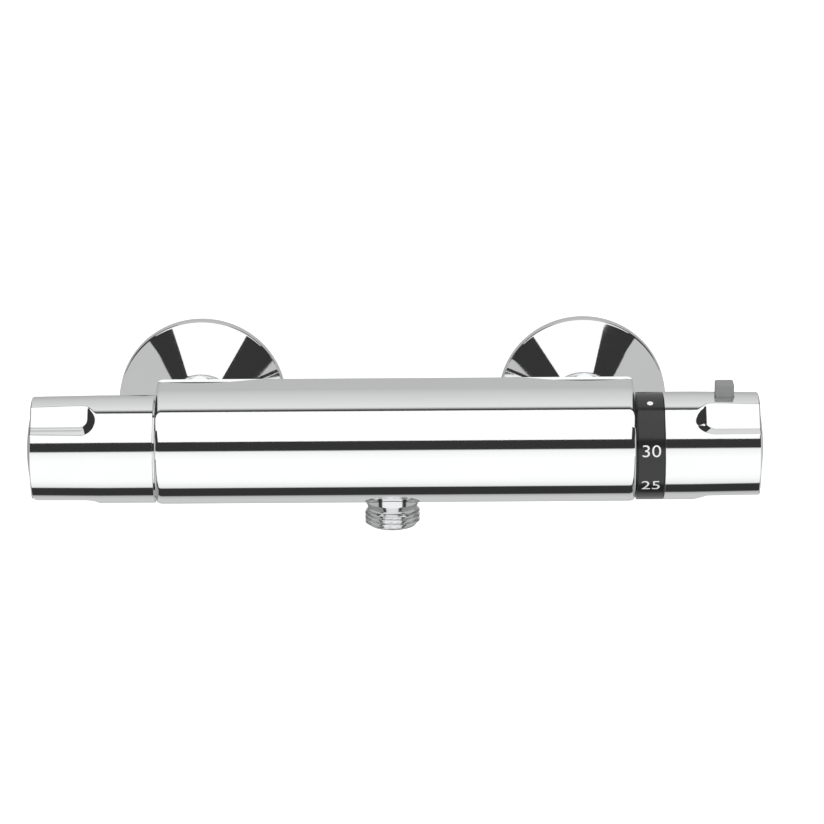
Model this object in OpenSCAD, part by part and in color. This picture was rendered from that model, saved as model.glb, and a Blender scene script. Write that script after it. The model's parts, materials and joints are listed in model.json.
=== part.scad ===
// Thermostatic shower bar valve for a wall, in millimetres.
// X runs along the bar with the temperature handle at +X, +Y points into the wall and +Z is up.
// The origin lies on the finished wall, midway between the two supply threads.

/* [Layout] */
// Distance between the two wall supplies
supply_pitch = 150; // [146:0.5:154]
// Distance from the wall to the axis of the bar
wall_to_axis = 65; // [63:0.5:75]
// How far each offset union sets the bar below its supply
union_offset = 8; // [5:0.5:9]

/* [Body] */
// Radius of the round front of the body
body_r = 21; // [20.8:0.1:22]
// Left end of the body, measured from the middle of the supplies
body_left = 89.7; // [88:0.1:91]
// Right end of the body, measured from the middle of the supplies
body_right = 92.3; // [91:0.1:93]
// How far the flat back part of the body reaches behind the round one
back_reach = 2.6; // [2.2:0.1:4]
// How far the flat top of the back part lies below the round one
flat_drop = 1; // [0.5:0.1:2]
// Rounding of the body's ends
body_round = 1.8; // [1:0.1:2.4]
// Rounding of the back edges
back_round = 1.2; // [0.5:0.1:2]

/* [Handles] */
// Radius of both handles where they meet the body
knob_r = 20.55; // [20.3:0.05:20.8]
// How much slimmer both handles are at the outer end
knob_taper = 0.35; // [0:0.05:0.6]
// Gap between the body and the flow handle
flow_gap = 1; // [0.8:0.1:1.4]
// Length of the flow handle without its cap
flow_knob_len = 45.3; // [44:0.1:48]
// Gap between the body and the scale ring
scale_gap = 0.6; // [0.4:0.1:1]
// Width of the scale ring
scale_len = 10.3; // [9.5:0.1:11]
// Length of the temperature handle beyond the scale ring
temp_knob_len = 35.8; // [35:0.1:38]
// Rise of the domed caps
cap_dome = 2.3; // [1.5:0.1:3]
// Depth of a finger recess
recess_deep = 2.65; // [2:0.05:2.9]
// Length of a finger recess along the handle, at its rim
recess_len = 24.9; // [22:0.1:26]

/* [Safety button] */
// Width of the button along the handle
button_w = 7; // [6:0.1:8]
// Length of the button around the handle
button_l = 8; // [7:0.1:9]
// How far the button stands out of the handle
button_proud = 4.65; // [4:0.05:5.5]
// Travel of the button
button_travel = 2.5; // [1.5:0.1:2.6]

/* [Outlet] */
// Radius of the outlet's half inch pipe thread
outlet_r = 10.4775; // [10.4:0.0005:10.5]
// Length of the outlet below the body
outlet_drop = 9.4; // [9:0.1:13]
// Pitch of the half inch pipe threads
thread_pitch = 1.814; // [1.7:0.001:1.9]
// Radius of the outlet's water way
outlet_bore = 6.5; // [5:0.1:7]

/* [Wall connections] */
// Radius of the rosettes
rosette_r = 32.9; // [31:0.1:35]
// Depth of the rosette's straight rim
rosette_rim = 4.7; // [3:0.1:5.5]
// Distance from the wall to the rosette's neck
rosette_len = 16.5; // [14:0.1:18]
// Radius of the three quarter inch connection thread
union_r = 13.2205; // [13.2:0.0005:13.25]
// Width across the flats of the union nuts
nut_af = 30; // [30:0.5:33]
// Length of the union nuts
nut_len = 12; // [11:0.5:13]
// Length of the half inch thread that goes into the wall
wall_thread = 18; // [14:0.5:20]

/* [Hidden] */

$fn = 96;
// Overrun of every cut past the surface that it opens
cut = 1;
// Clearance between a seated piece and its seat
fit = 0.05;
// Radial clearance of a shaft that turns or slides in its bore
run = 0.06;
// Face gap between pieces that stay close without touching
face_gap = 0.1;
// Small chamfer that breaks the edges of turned pieces
edge = 0.6;

axis_y = -wall_to_axis;
axis_z = -union_offset;
inlet_x = supply_pitch / 2;
body_back = body_r + back_reach;
body_flat = body_r - flat_drop;
knob_tip_r = knob_r - knob_taper;
recess_floor = knob_r - recess_deep;
button_top = knob_r + button_proud;
outlet_reach = body_r + outlet_drop;

// Body bores
main_bore = 12.5;
chamber_r = 14;
chamber_past = 2;
chamber_over = 3;
partition_len = 6;
tube_r = 8;
tube_wall = 1.5;
cartridge_bore = 15.5;
port_r = 10;
port_way_r = 7;
port_floor = cartridge_bore - 1.5;
port_step = cartridge_bore + 0.7;
port_boss_r = 13;
gallery_r = 3.2;
gallery_back = body_back - 10.4;
gallery_drop = body_flat - 5.2;
hot_port_at = 11;
hot_port_r = 3;
riser_r = 2.8;
riser_back = port_step - 1.6;
dish_depth = 5;
dish_r = 34.8;
mark_r = 0.7;
mark_len = 1.6;
mark_proud = 0.1;
mark_back = 8;
mark_inset = 3.9;

// Outlet
collar_r = 10;
collar_len = 2.8;
collar_top = body_r - collar_len;
shank_r = 9;
shank_top = collar_top - 2.6;
neck_r = 9.2;
neck_cone = 2.6;
thread_depth = 1.1;
thread_land = 0.42;
thread_start = body_r + 3.3;
outlet_ridges = floor((outlet_reach - thread_start) / thread_pitch);

// Inlet nipples and union nuts, measured from the bar's axis towards the wall
nipple_seat = body_back + face_gap / 2;
nipple_in = port_step + 2 * fit;
nipple_flange_r = 12.6;
nipple_flange = 1.6;
nipple_neck_r = 10.6;
nipple_bore = 7.6;
catch_start = nipple_seat + 7.55;
catch_len = 2.4;
nipple_end = catch_start + catch_len;
nut_wall = 2.7;
nut_start = catch_start - nut_wall - face_gap * 2;
nut_hole_r = 10.9;
washer_len = 2;
washer_r = 12.4;
washer_hole = 6.4;
union_start = nipple_end + washer_len + 2 * face_gap;
union_end = wall_to_axis - 5.5;
union_bore = 8;
shoulder_r = 12;
shoulder_start = union_end - 3;
bore_overlap = 1.2;
wall_bore = 7;
rosette_wall = 1.2;
rosette_neck_r = 14.65;
rosette_neck = 2.6;

// Check valves, measured from the bar's axis towards the wall
cage_start = nipple_in + 1.7;
cage_end = nipple_end - 2.6;
cage_r = 7.5;
cage_bore = 5.8;
seat_len = 2;
seat_hole = 4;
guide_len = 1.5;
guide_r = 2.8;
spoke_w = 1.6;
stem_r = 1.4;
poppet_r = 5;
poppet_len = 1.8;
poppet_travel = 3.5;
check_ring = 0.9;
check_ring_y = cage_start + 7;

// Flow side, measured from the middle of the supplies to the left
headwork_r = 12.4;
sleeve_r = 11.8;
sleeve_bore = 10.6;
headwork_thread = body_left - 10.7;
sleeve_floor = headwork_thread - 13;
sleeve_len = 17;
sleeve_end = sleeve_floor - sleeve_len;
headwork_flange_r = 14;
headwork_flange = 1.5;
headwork_af = 22;
headwork_hex = 4;
headwork_neck_r = 7.5;
headwork_neck = 2.8;
headwork_top = body_left + headwork_flange + headwork_hex + headwork_neck;
spindle_r = 4.5;
spindle_flange_r = 10.4;
spindle_flange = 3.3;
spline_r = 3.9;
spline_root_share = 0.9;
spline_teeth = 20;
spline_len = 10;
disc_r = 10.4;
disc_len = 3.4;
disc_gap = 0.05;
disc_x = sleeve_floor - 3.7;
seat_len_x = 2.6;
disc_port_r = 2.6;
disc_port_off = 5.2;
window_len = 4.6;
window_w = 9;
clip_w = 0.8;
clip_r = 5.6;
clip_gap_w = 3;
seal_ring = 0.53;
big_ring = 0.85;
headwork_ring_x = headwork_thread - 3;
flow_seal_x = [headwork_thread + 5, headwork_thread + 9];
trim_bore = 14.3;
trim_len = 2;

// Handles
skirt_wall = 1.95;
skirt_bore = knob_r - skirt_wall;
trim_r = skirt_bore - 0.4;
skirt_len = 6.3;
hub_r = 7;
web_len = 3.5;
flow_web_at = 18.3;
screw_reserve = 2;
cap_r = knob_tip_r - 4;
inner_r = cap_r - 0.9;
cap_seat = 2;
clip_len = 4;
clip_wall = 1.1;
screw_r = 1.9;
screw_head_r = 3.6;
screw_head = 2.9;
screw_socket_r = 1.7;
screw_socket = 1.8;
recess_turn = 42.6;
recess_count = 3;
recess_lip = 4;
recess_corner = 3;
recess_slope_share = 1.5;
flow_x = body_left + flow_gap;
flow_tip = flow_x + flow_knob_len;
flow_web = flow_x + flow_web_at;
scale_x = body_right + scale_gap;
knob_x = scale_x + scale_len;
temp_tip = knob_x + temp_knob_len;
scale_wall = 2.25;
scale_bore = knob_r - scale_wall;
collar_inset = 0.4;
scale_key_w = 2;
scale_key = 0.8;
collar_wall = 2.2;
collar_bore = scale_bore - collar_wall;

// Thermostatic side, measured from the middle of the supplies to the right
band_r = 15.2;
groove_r = 13;
housing_bore = 11;
band_one = 6;
hot_len = 10;
band_two = 4.5;
cold_len = 15.5;
band_three = 7;
nut_space = 5.3;
cold_end = body_right - nut_space - band_three;
housing_x = cold_end - band_one - hot_len - band_two - cold_len;
hot_end = housing_x + band_one + hot_len;
lip_len = 2;
lip_bore = 6.5;
hot_window_x = housing_x + band_one + 1;
cold_window_x = hot_end + band_two + 2;
cart_window_len = 3.5;
cart_window_w = 7;
stop_r = collar_bore - 1.1;
head_neck_r = stop_r - 3;
head_reach = 6.7;
head_end = body_right + head_reach;
reg_spline_x = head_end + 1.2;
reg_spline_len = 11.5;
reg_ring_x = head_end - 7;
temp_web = reg_spline_x + reg_spline_len + 0.5;
key_w = 2;
key_h = 0.9;
key_turn = 45;
nut_ring_r = 15.4;
nut_slot_w = 3;
nut_slot = 2;
stop_len = 5;
stop_tab = 3;
stop_tab_in = stop_r - 2.4;
stop_tab_out = stop_r - 0.4;
reg_flange_r = 8;
reg_flange = 3.4;
reg_shaft_r = 5.9;
reg_screw_r = 4;
carrier_len = 10;
carrier_x = cold_end - carrier_len - 0.5;
carrier_cup = 5.5;
carrier_cup_r = 8.5;
reg_screw_x = carrier_x + 4.5;
wax_r = 4.5;
wax_x = housing_x + lip_len + 0.5;
wax_len = 15.5;
wax_end = wax_x + wax_len;
wax_collar_r = 7.6;
wax_collar = 2.4;
wax_piston_r = 2;
wax_free = 0.8;
shuttle_len = 14.4;
shuttle_x = hot_window_x + 2.2;
shuttle_wall = 1.5;
shuttle_web = 2;
shuttle_web_x = wax_end - shuttle_web - 1;
shuttle_spoke = 2.4;
filter_wall = 0.5;
filter_rim = 1.2;
filter_slots = 8;
filter_slot_w = 6;
cartridge_x = housing_x - 2;
partition_left = cartridge_x - partition_len;
hot_port_x = housing_x + hot_port_at;
chamber_left = sleeve_floor - chamber_past;
chamber_right = sleeve_end - chamber_over;
tube_seal_x = [partition_left + 2, partition_left + 4.2];

// Safety button
button_at = 23.6;
button_x = knob_x + button_at;
button_round = 1.2;
hot_turn = 75;
cold_turn = 165;
foot_top = stop_tab_out - 0.2;
foot_h = 1.9;
foot_extra = 1.2;
arm_w = 4;
arm_tip_x = head_end + 0.6;
arm_gap = 0.3;
arm_half = asin((arm_w / 2 + arm_gap) / stop_tab_in);
stop_from = hot_turn + arm_half + 1;
stop_to = 360 - cold_turn - arm_half - 1;
slot_gap = 0.06;
shelf_len = 1.5;
shelf_top = screw_head_r + 1.9 + shelf_len;
shelf_w = 9;
shelf_reach = 4.6;

// Springs: wire radius, mean radius and number of curls
check_wire = 0.3;
check_coil_r = 3.4;
check_curls = 5;
return_wire = 0.45;
return_coil_r = 7.6;
return_curls = 7;
overload_wire = 0.55;
overload_coil_r = 6.4;
overload_curls = 5;
button_wire = 0.3;
button_coil_r = 2.3;
curl_room = 1.3;
button_curls = floor((foot_top - foot_h - shelf_top) / curl_room);
coil_steps = 8;
coil_sides = 6;

// Placing
module on_bar(x) translate([x, axis_y, axis_z]) rotate([0, 90, 0]) children();
module to_left(x) translate([-x, axis_y, axis_z]) rotate([0, -90, 0]) children();
module at_inlet(side) translate([side * inlet_x, axis_y, axis_z]) rotate([-90, 0, 0]) children();
module at_outlet() translate([0, axis_y, axis_z]) rotate([180, 0, 0]) children();

// Shapes
module ring(r, hole, len) difference() {
    cylinder(h = len, r = r);
    translate([0, 0, -cut]) cylinder(h = len + 2 * cut, r = hole);
}
module disc(from, to, r) translate([0, 0, from]) cylinder(h = to - from, r = r);
module sleeve(from, to, r, hole) translate([0, 0, from]) ring(r, hole, to - from);
module o_ring(at, mid_r, wire) translate([0, 0, at]) rotate_extrude() translate([mid_r, 0]) circle(r = wire, $fn = 32);
module groove(at, floor_r, wire, outer) sleeve(at - wire - fit, at + wire + fit, outer + cut, floor_r);
module hexagon(from, to, across) translate([0, 0, from]) cylinder(h = to - from, r = across / sqrt(3), $fn = 6);

// A star of fine teeth, as on a splined shaft or in its hub
module spline(from, to, r) translate([0, 0, from]) linear_extrude(to - from)
    polygon([for (i = [0 : 2 * spline_teeth - 1])
        r * (i % 2 == 0 ? 1 : spline_root_share) * [cos(180 * i / spline_teeth), sin(180 * i / spline_teeth)]]);

// Pipe thread as ridges with flat crests, from the first flank to the last
function ridge(r, at) = [
    [r - thread_depth, at],
    [r, at + (thread_pitch - thread_land) / 2],
    [r, at + (thread_pitch + thread_land) / 2]];
function ridges(r, from, count) =
    [for (i = [0 : count - 1]) each ridge(r, from + i * thread_pitch)];
module pipe_thread(r, from, count) rotate_extrude() polygon(concat(
    [[0, from]], ridges(r, from, count),
    [[r - thread_depth, from + count * thread_pitch], [0, from + count * thread_pitch]]));

// A spring as one unbroken tube that climbs steadily
function coil_turn(k) = 360 * k / coil_steps;
function coil_path(curls, r, low, high) = [for (k = [0 : curls * coil_steps])
    [r * cos(coil_turn(k)), r * sin(coil_turn(k)), low + (high - low) * k / (curls * coil_steps)]];
function coil_ring(p, k, wire) = [for (s = [0 : coil_sides - 1])
    let (a = 360 * s / coil_sides, t = coil_turn(k))
    p + wire * [cos(a) * cos(t), cos(a) * sin(t), sin(a)]];
function coil_gap(path, wire) = min([for (i = [0 : len(path) - 1 - coil_steps])
    norm(path[i + coil_steps] - path[i])]) - 2 * wire;
module coil(name, curls, r, wire, low, high) {
    path = coil_path(curls, r, low + wire, high - wire);
    echo(str(name, " least gap ", coil_gap(path, wire)));
    last = (len(path) - 1) * coil_sides;
    points = [for (k = [0 : len(path) - 1]) each coil_ring(path[k], k, wire)];
    sides = [for (k = [0 : len(path) - 2]) for (s = [0 : coil_sides - 1])
        let (a = k * coil_sides + s, b = k * coil_sides + (s + 1) % coil_sides)
        each [[a, b, b + coil_sides], [a, b + coil_sides, a + coil_sides]]];
    ends = [for (s = [1 : coil_sides - 2]) each [[0, s + 1, s], [last, last + s, last + s + 1]]];
    polyhedron(points = points, faces = concat(sides, ends));
}

// Body
module body_section() {
    flat = body_flat - back_round;
    back = body_back - back_round;
    for (side = [-1, 1]) translate([back, side * flat]) circle(r = back_round, $fn = 32);
    translate([0, -body_flat]) square([back, 2 * body_flat]);
    translate([0, -flat]) square([body_back, 2 * flat]);
}
module body_barrel() on_bar(-body_left) {
    long = body_left + body_right;
    rotate_extrude() {
        square([body_r - body_round, long]);
        translate([0, body_round]) square([body_r, long - 2 * body_round]);
        for (at = [body_round, long - body_round])
            translate([body_r - body_round, at]) circle(r = body_round, $fn = 48);
    }
}
module body_block() translate([-body_left + body_round, axis_y, axis_z])
    rotate([90, 0, 90]) linear_extrude(body_left + body_right - 2 * body_round) body_section();
module dish() difference() {
    translate([0, 0, body_back - dish_depth])
        cylinder(h = dish_depth + cut, r1 = body_flat, r2 = body_flat + (dish_r - body_flat) * (1 + cut / dish_depth));
    translate([0, 0, body_back - 2 * dish_depth]) cylinder(h = 3 * dish_depth, r = port_boss_r);
}
module hot_way() translate([0, axis_y, axis_z]) {
    translate([-inlet_x, gallery_back, -gallery_drop]) rotate([0, 90, 0])
        cylinder(h = inlet_x + hot_port_x + hot_port_r, r = gallery_r);
    translate([-inlet_x, riser_back, -gallery_drop]) cylinder(h = gallery_drop - port_way_r / 2, r = riser_r);
    translate([hot_port_x, 0, 0]) rotate([atan2(-gallery_back, -gallery_drop), 0, 0])
        disc(cartridge_bore - cut, norm([gallery_back, gallery_drop]), hot_port_r);
}
module body() color("gainsboro") difference() {
    union() {
        body_barrel();
        body_block();
    }
    to_left(0) disc(-partition_left, body_left + cut, main_bore);
    to_left(0) disc(chamber_right, chamber_left, chamber_r);
    on_bar(0) disc(partition_left - cut, cartridge_x + cut, tube_r + fit);
    on_bar(0) disc(cartridge_x, body_right + cut, cartridge_bore);
    for (side = [-1, 1]) at_inlet(side) {
        disc(port_floor, port_step + cut, port_way_r);
        disc(port_step, body_back + cut, port_r);
        dish();
    }
    hot_way();
    at_outlet() {
        disc(main_bore - 2 * cut, shank_top + cut, outlet_bore);
        disc(shank_top - fit, body_r + cut, shank_r + fit);
        disc(collar_top - fit, body_r + cut, collar_r + fit);
    }
    translate([body_right - mark_inset, axis_y + mark_back, axis_z + body_flat - mark_len])
        cylinder(h = mark_len + cut, r = mark_r + fit);
}
module index_mark() color("white")
    translate([body_right - mark_inset, axis_y + mark_back, axis_z + body_flat - mark_len])
        cylinder(h = mark_len + mark_proud, r = mark_r);

// Outlet
module outlet_nipple() color("silver") at_outlet() difference() {
    union() {
        disc(shank_top, thread_start + fit, shank_r);
        disc(collar_top, collar_top + collar_len, collar_r);
        translate([0, 0, collar_top + collar_len]) cylinder(h = neck_cone, r1 = collar_r, r2 = neck_r);
        disc(collar_top + collar_len, thread_start + fit, neck_r);
        pipe_thread(outlet_r, thread_start, outlet_ridges);
        translate([0, 0, thread_start + outlet_ridges * thread_pitch - fit])
            cylinder(h = outlet_reach - thread_start - outlet_ridges * thread_pitch + fit,
                r1 = outlet_r - thread_depth, r2 = outlet_r - thread_depth - edge / 2);
    }
    disc(shank_top - cut, outlet_reach + cut, outlet_bore);
}

// Inlets
module inlet_nipple(side) color("silver") at_inlet(side) difference() {
    union() {
        disc(nipple_in, nipple_seat, port_r - fit);
        disc(nipple_seat, nipple_seat + nipple_flange, nipple_flange_r);
        disc(nipple_seat, nipple_end, nipple_neck_r);
        disc(catch_start, nipple_end, nipple_flange_r);
    }
    disc(nipple_in - cut, nipple_end + cut, nipple_bore);
}
module union_nut(side) color("gainsboro") at_inlet(side) difference() {
    intersection() {
        hexagon(nut_start, nut_start + nut_len, nut_af);
        translate([0, 0, nut_start]) nut_bevel();
    }
    disc(nut_start - cut, nut_start + nut_len, nut_hole_r);
    disc(nut_start + nut_wall, nut_start + nut_len + cut, union_r + fit);
}
module nut_bevel() {
    corner = nut_af / sqrt(3);
    cylinder(h = nut_len / 2, r1 = corner - edge * 2, r2 = corner - edge * 2 + nut_len / 2);
    translate([0, 0, nut_len / 2])
        cylinder(h = nut_len / 2, r1 = corner - edge * 2 + nut_len / 2, r2 = corner - edge * 2);
}
module inlet_strainer(side) color("dimgray") at_inlet(side)
    sleeve(nipple_end + face_gap, nipple_end + face_gap + washer_len, washer_r, washer_hole);
module offset_union(side) color("silver") at_inlet(side) difference() {
    union() {
        disc(union_start, union_end, union_r - fit);
        translate([0, -union_offset, 0]) {
            disc(shoulder_start, wall_to_axis - edge, shoulder_r);
            disc(wall_to_axis - 2 * edge, wall_to_axis + wall_thread - edge, outlet_r);
            translate([0, 0, wall_to_axis + wall_thread - edge])
                cylinder(h = edge, r1 = outlet_r, r2 = outlet_r - edge);
        }
    }
    disc(union_start - cut, union_end - bore_overlap, union_bore);
    translate([0, -union_offset, 0])
        disc(union_end - 2 * bore_overlap, wall_to_axis + wall_thread + cut, wall_bore);
}
module rosette(side) color("gainsboro") at_inlet(side) rotate_extrude() polygon([
    [rosette_r, wall_to_axis],
    [rosette_r, wall_to_axis - rosette_rim + edge],
    [rosette_r - edge, wall_to_axis - rosette_rim],
    [rosette_neck_r, wall_to_axis - rosette_len + edge],
    [rosette_neck_r - edge, wall_to_axis - rosette_len],
    [union_r + fit, wall_to_axis - rosette_len],
    [union_r + fit, wall_to_axis - rosette_len + rosette_neck],
    [rosette_r - edge - rosette_wall, wall_to_axis - rosette_rim + rosette_wall],
    [rosette_r - rosette_wall, wall_to_axis - rosette_rim + edge + rosette_wall],
    [rosette_r - rosette_wall, wall_to_axis]]);

// Check valves
module check_valve_cage(side) color("ivory") at_inlet(side) difference() {
    union() {
        sleeve(cage_start, cage_end, cage_r, cage_bore);
        sleeve(cage_end - seat_len, cage_end, cage_bore + fit, seat_hole);
        intersection() {
            disc(cage_start, cage_start + guide_len, cage_bore + fit);
            union() {
                disc(cage_start, cage_start + guide_len, guide_r);
                for (i = [0 : 2]) rotate([0, 0, 120 * i])
                    translate([0, -spoke_w / 2, cage_start]) cube([cage_r, spoke_w, guide_len]);
            }
        }
    }
    disc(cage_start - cut, cage_start + guide_len + cut, stem_r + run);
    groove(check_ring_y, cage_r - check_ring, check_ring / 2, cage_r);
}
module check_valve_seal(side) color("black") at_inlet(side)
    o_ring(check_ring_y, cage_r - check_ring / 2, check_ring / 2);
module check_valve_poppet(side) color("ivory") at_inlet(side) {
    top = cage_end - seat_len - face_gap;
    disc(top - poppet_len, top, poppet_r);
    disc(cage_start, top - poppet_len + fit, stem_r);
}
module check_valve_spring(side) color("silver") at_inlet(side)
    coil("check valve spring", check_curls, check_coil_r, check_wire,
        cage_start + guide_len + face_gap, cage_end - seat_len - poppet_len - 2 * face_gap);

// Flow headwork
module windows(from, len, w, count, reach) for (i = [0 : count - 1]) rotate([0, 0, 360 / count * i])
    translate([0, -w / 2, from]) cube([reach, w, len]);
module flow_headwork() color("darkkhaki") to_left(0) difference() {
    union() {
        disc(sleeve_end, headwork_thread + fit, sleeve_r);
        disc(headwork_thread, body_left, headwork_r);
        disc(body_left, body_left + headwork_flange, headwork_flange_r);
        hexagon(body_left + headwork_flange - fit, body_left + headwork_flange + headwork_hex, headwork_af);
        disc(body_left, headwork_top, headwork_neck_r);
    }
    disc(sleeve_end - cut, sleeve_floor, sleeve_bore);
    disc(sleeve_floor - cut, headwork_top + cut, spindle_r + run);
    windows(disc_x - window_len, window_len, window_w, 2, sleeve_r + cut);
    groove(headwork_ring_x, sleeve_r - 2 * big_ring + face_gap * 6, big_ring, sleeve_r);
}
module headwork_seal() color("black") to_left(0)
    o_ring(headwork_ring_x, main_bore - big_ring - fit, big_ring);
module flow_trim_ring() color("gainsboro") to_left(0) sleeve(body_left, body_left + trim_len, trim_r, trim_bore);
module disc_ports(from, to) for (i = [0, 1]) rotate([0, 0, 180 * i])
    translate([disc_port_off, 0, 0]) disc(from - cut, to + cut, disc_port_r);
module moving_disc() color("whitesmoke") to_left(0) {
    high = disc_x;
    low = disc_x - disc_len;
    rotate([0, 0, 90]) difference() {
        disc(low, high, disc_r - run * 2);
        disc_ports(low, high);
    }
}
module fixed_disc() color("whitesmoke") to_left(0) {
    high = disc_x - disc_len - disc_gap;
    low = high - disc_len;
    difference() {
        disc(low, high, disc_r + face_gap);
        disc_ports(low, high);
    }
}
module disc_seat_seal() color("black") to_left(0) {
    high = disc_x - 2 * disc_len - 2 * disc_gap;
    sleeve(high - seat_len_x, high, disc_r + face_gap, tube_r);
}
module flow_spindle() color("darkkhaki") to_left(0) difference() {
    union() {
        disc(disc_x + disc_gap, disc_x + disc_gap + spindle_flange, spindle_flange_r - run * 2);
        disc(disc_x + disc_gap, headwork_top, spindle_r);
        disc(headwork_top - fit, headwork_top + clip_w + 2 * face_gap, spline_r + fit / 2);
        spline(headwork_top + clip_w + face_gap, headwork_top + spline_len, spline_r);
    }
    disc(headwork_top, headwork_top + spline_len + cut, screw_r + run);
    for (at = flow_seal_x) groove(at, spindle_r - 2 * seal_ring + fit, seal_ring, spindle_r);
}
module flow_spindle_seals() color("black") to_left(0)
    for (at = flow_seal_x) o_ring(at, spindle_r - seal_ring + fit, seal_ring);
module spindle_clip() color("silver") to_left(0) difference() {
    sleeve(headwork_top + face_gap, headwork_top + face_gap + clip_w, clip_r, spline_r + fit);
    translate([0, -clip_gap_w / 2, headwork_top]) cube([clip_r + cut, clip_gap_w, clip_w + cut]);
}

// Handles
// A finger recess: a flat floor that runs out flush at its upper edge, with sloping walls below and at its end
module recess(tip, rim_end) {
    deep = knob_r - recess_floor;
    run_out = recess_slope_share * (deep + cut);
    floor_end = rim_end + recess_slope_share * deep;
    low = -recess_lip + recess_slope_share * deep;
    wide = knob_r / 2 + cut;
    far = tip + cut;
    translate([floor_end + recess_corner, low + recess_corner, recess_floor])
        cylinder(h = deep + cut, r1 = recess_corner, r2 = recess_corner + run_out);
    translate([0, wide, 0]) rotate([90, 0, 0]) linear_extrude(wide - low - recess_corner)
        polygon([[floor_end, recess_floor], [far, recess_floor],
            [far, recess_floor + deep + cut], [floor_end - run_out, recess_floor + deep + cut]]);
    translate([floor_end + recess_corner, 0, 0]) rotate([90, 0, 90]) linear_extrude(far - floor_end - recess_corner)
        polygon([[low, recess_floor], [wide, recess_floor],
            [wide, recess_floor + deep + cut], [low - run_out, recess_floor + deep + cut]]);
}
// Lays a shape drawn with X outward along the bar, Y up around it and Z away from the axis
module around(side, turn) translate([0, axis_y, axis_z]) rotate([90 - turn, 0, 0])
    mirror([side < 0 ? 1 : 0, 0, 0]) children();
module recesses(side, tip) for (i = [0 : recess_count - 1])
    around(side, recess_turn + 360 / recess_count * i) recess(tip, tip - recess_len);
module knob_skin(from, tip) {
    disc(from, tip - recess_len, knob_r);
    translate([0, 0, tip - recess_len]) cylinder(h = recess_len - edge, r1 = knob_r, r2 = knob_tip_r);
    translate([0, 0, tip - edge]) cylinder(h = edge, r1 = knob_tip_r, r2 = knob_tip_r - edge);
}
module handle_cap(tip) {
    ball = (cap_r * cap_r + cap_dome * cap_dome) / (2 * cap_dome);
    disc(tip - cap_seat, tip, cap_r - fit);
    intersection() {
        disc(tip - fit, tip + cap_dome + cut, cap_r - fit);
        translate([0, 0, tip + cap_dome - ball]) sphere(r = ball, $fn = 128);
    }
    sleeve(tip - cap_seat - clip_len, tip - cap_seat + fit, inner_r - fit, inner_r - fit - clip_wall);
}
module handle_screw(seat, long) difference() {
    union() {
        disc(seat - long, seat + fit, screw_r);
        disc(seat, seat + screw_head, screw_head_r);
    }
    translate([0, 0, seat + screw_head - screw_socket]) cylinder(h = screw_socket + cut, r = screw_socket_r, $fn = 6);
}
module flow_handle() color("gainsboro") {
    difference() {
        to_left(0) difference() {
            knob_skin(flow_x, flow_tip);
            disc(flow_x - cut, flow_x + skirt_len, skirt_bore);
            disc(flow_x + skirt_len - fit, flow_web, skirt_bore - edge);
            disc(flow_web - cut, flow_web + web_len + cut, screw_r + face_gap);
            disc(flow_web + web_len, flow_tip + cut, inner_r);
            disc(flow_tip - cap_seat - face_gap, flow_tip + cut, cap_r);
        }
        recesses(-1, flow_tip);
    }
    to_left(0) hub(headwork_top + clip_w + 4 * face_gap, flow_web, headwork_top + spline_len + face_gap);
}
module hub(from, to, spline_end) difference() {
    disc(from, to + fit, hub_r);
    spline(from - cut, spline_end, spline_r + run);
    disc(from - cut, to + cut, screw_r + face_gap);
}
module flow_handle_cap() color("gainsboro") to_left(0) handle_cap(flow_tip);
module flow_handle_screw() color("silver") to_left(0)
    handle_screw(flow_web + web_len + face_gap, flow_web + web_len - headwork_top - screw_reserve);

// Tube for the mixed water, with a cup that seats in the headwork
module mixed_water_tube() color("ivory") to_left(0) {
    cup = disc_x - 2 * disc_len - 2 * disc_gap - seat_len_x;
    difference() {
        union() {
            sleeve(sleeve_end, cup, sleeve_bore - fit, tube_r - tube_wall);
            sleeve(-cartridge_x + edge, cup, tube_r, tube_r - tube_wall);
        }
        for (at = tube_seal_x) groove(-at, tube_r - 2 * seal_ring + fit, seal_ring, tube_r);
    }
}
module tube_seals() color("black") on_bar(0)
    for (at = tube_seal_x) o_ring(at, tube_r - seal_ring + fit, seal_ring);

// Thermostatic cartridge
module cartridge_groove(at) groove(at, cartridge_bore - 2 * big_ring - 2 * fit, big_ring, band_r);
module thermostat_housing() color("dimgray") on_bar(0) difference() {
    union() {
        disc(housing_x, housing_x + band_one, band_r);
        disc(housing_x, cold_end, groove_r);
        disc(hot_end, hot_end + band_two, band_r);
    }
    disc(housing_x - cut, cold_end, lip_bore);
    disc(housing_x + lip_len, cold_end + cut, housing_bore);
    windows(hot_window_x, cart_window_len, cart_window_w, 4, groove_r + cut);
    windows(cold_window_x, cart_window_len, cart_window_w, 4, groove_r + cut);
    rotate([0, 0, key_turn]) translate([0, -key_w / 2 - fit, carrier_x - cut])
        cube([housing_bore + key_h + fit, key_w + 2 * fit, cold_end - carrier_x + 2 * cut]);
    for (at = [housing_x + band_one / 2, hot_end + band_two / 2]) cartridge_groove(at);
}
module thermostat_head() color("darkkhaki") on_bar(0) difference() {
    union() {
        disc(cold_end, cold_end + band_three, band_r);
        disc(cold_end, head_end, head_neck_r);
    }
    disc(cold_end - cut, cold_end + reg_flange + 2 * face_gap, reg_flange_r + fit);
    disc(cold_end - cut, head_end + cut, reg_shaft_r + run);
    cartridge_groove(cold_end + band_three / 2);
}
module thermostat_seals() color("black") on_bar(0)
    for (at = [housing_x + band_one / 2, hot_end + band_two / 2, cold_end + band_three / 2])
        o_ring(at, cartridge_bore - big_ring - fit, big_ring);
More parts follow.
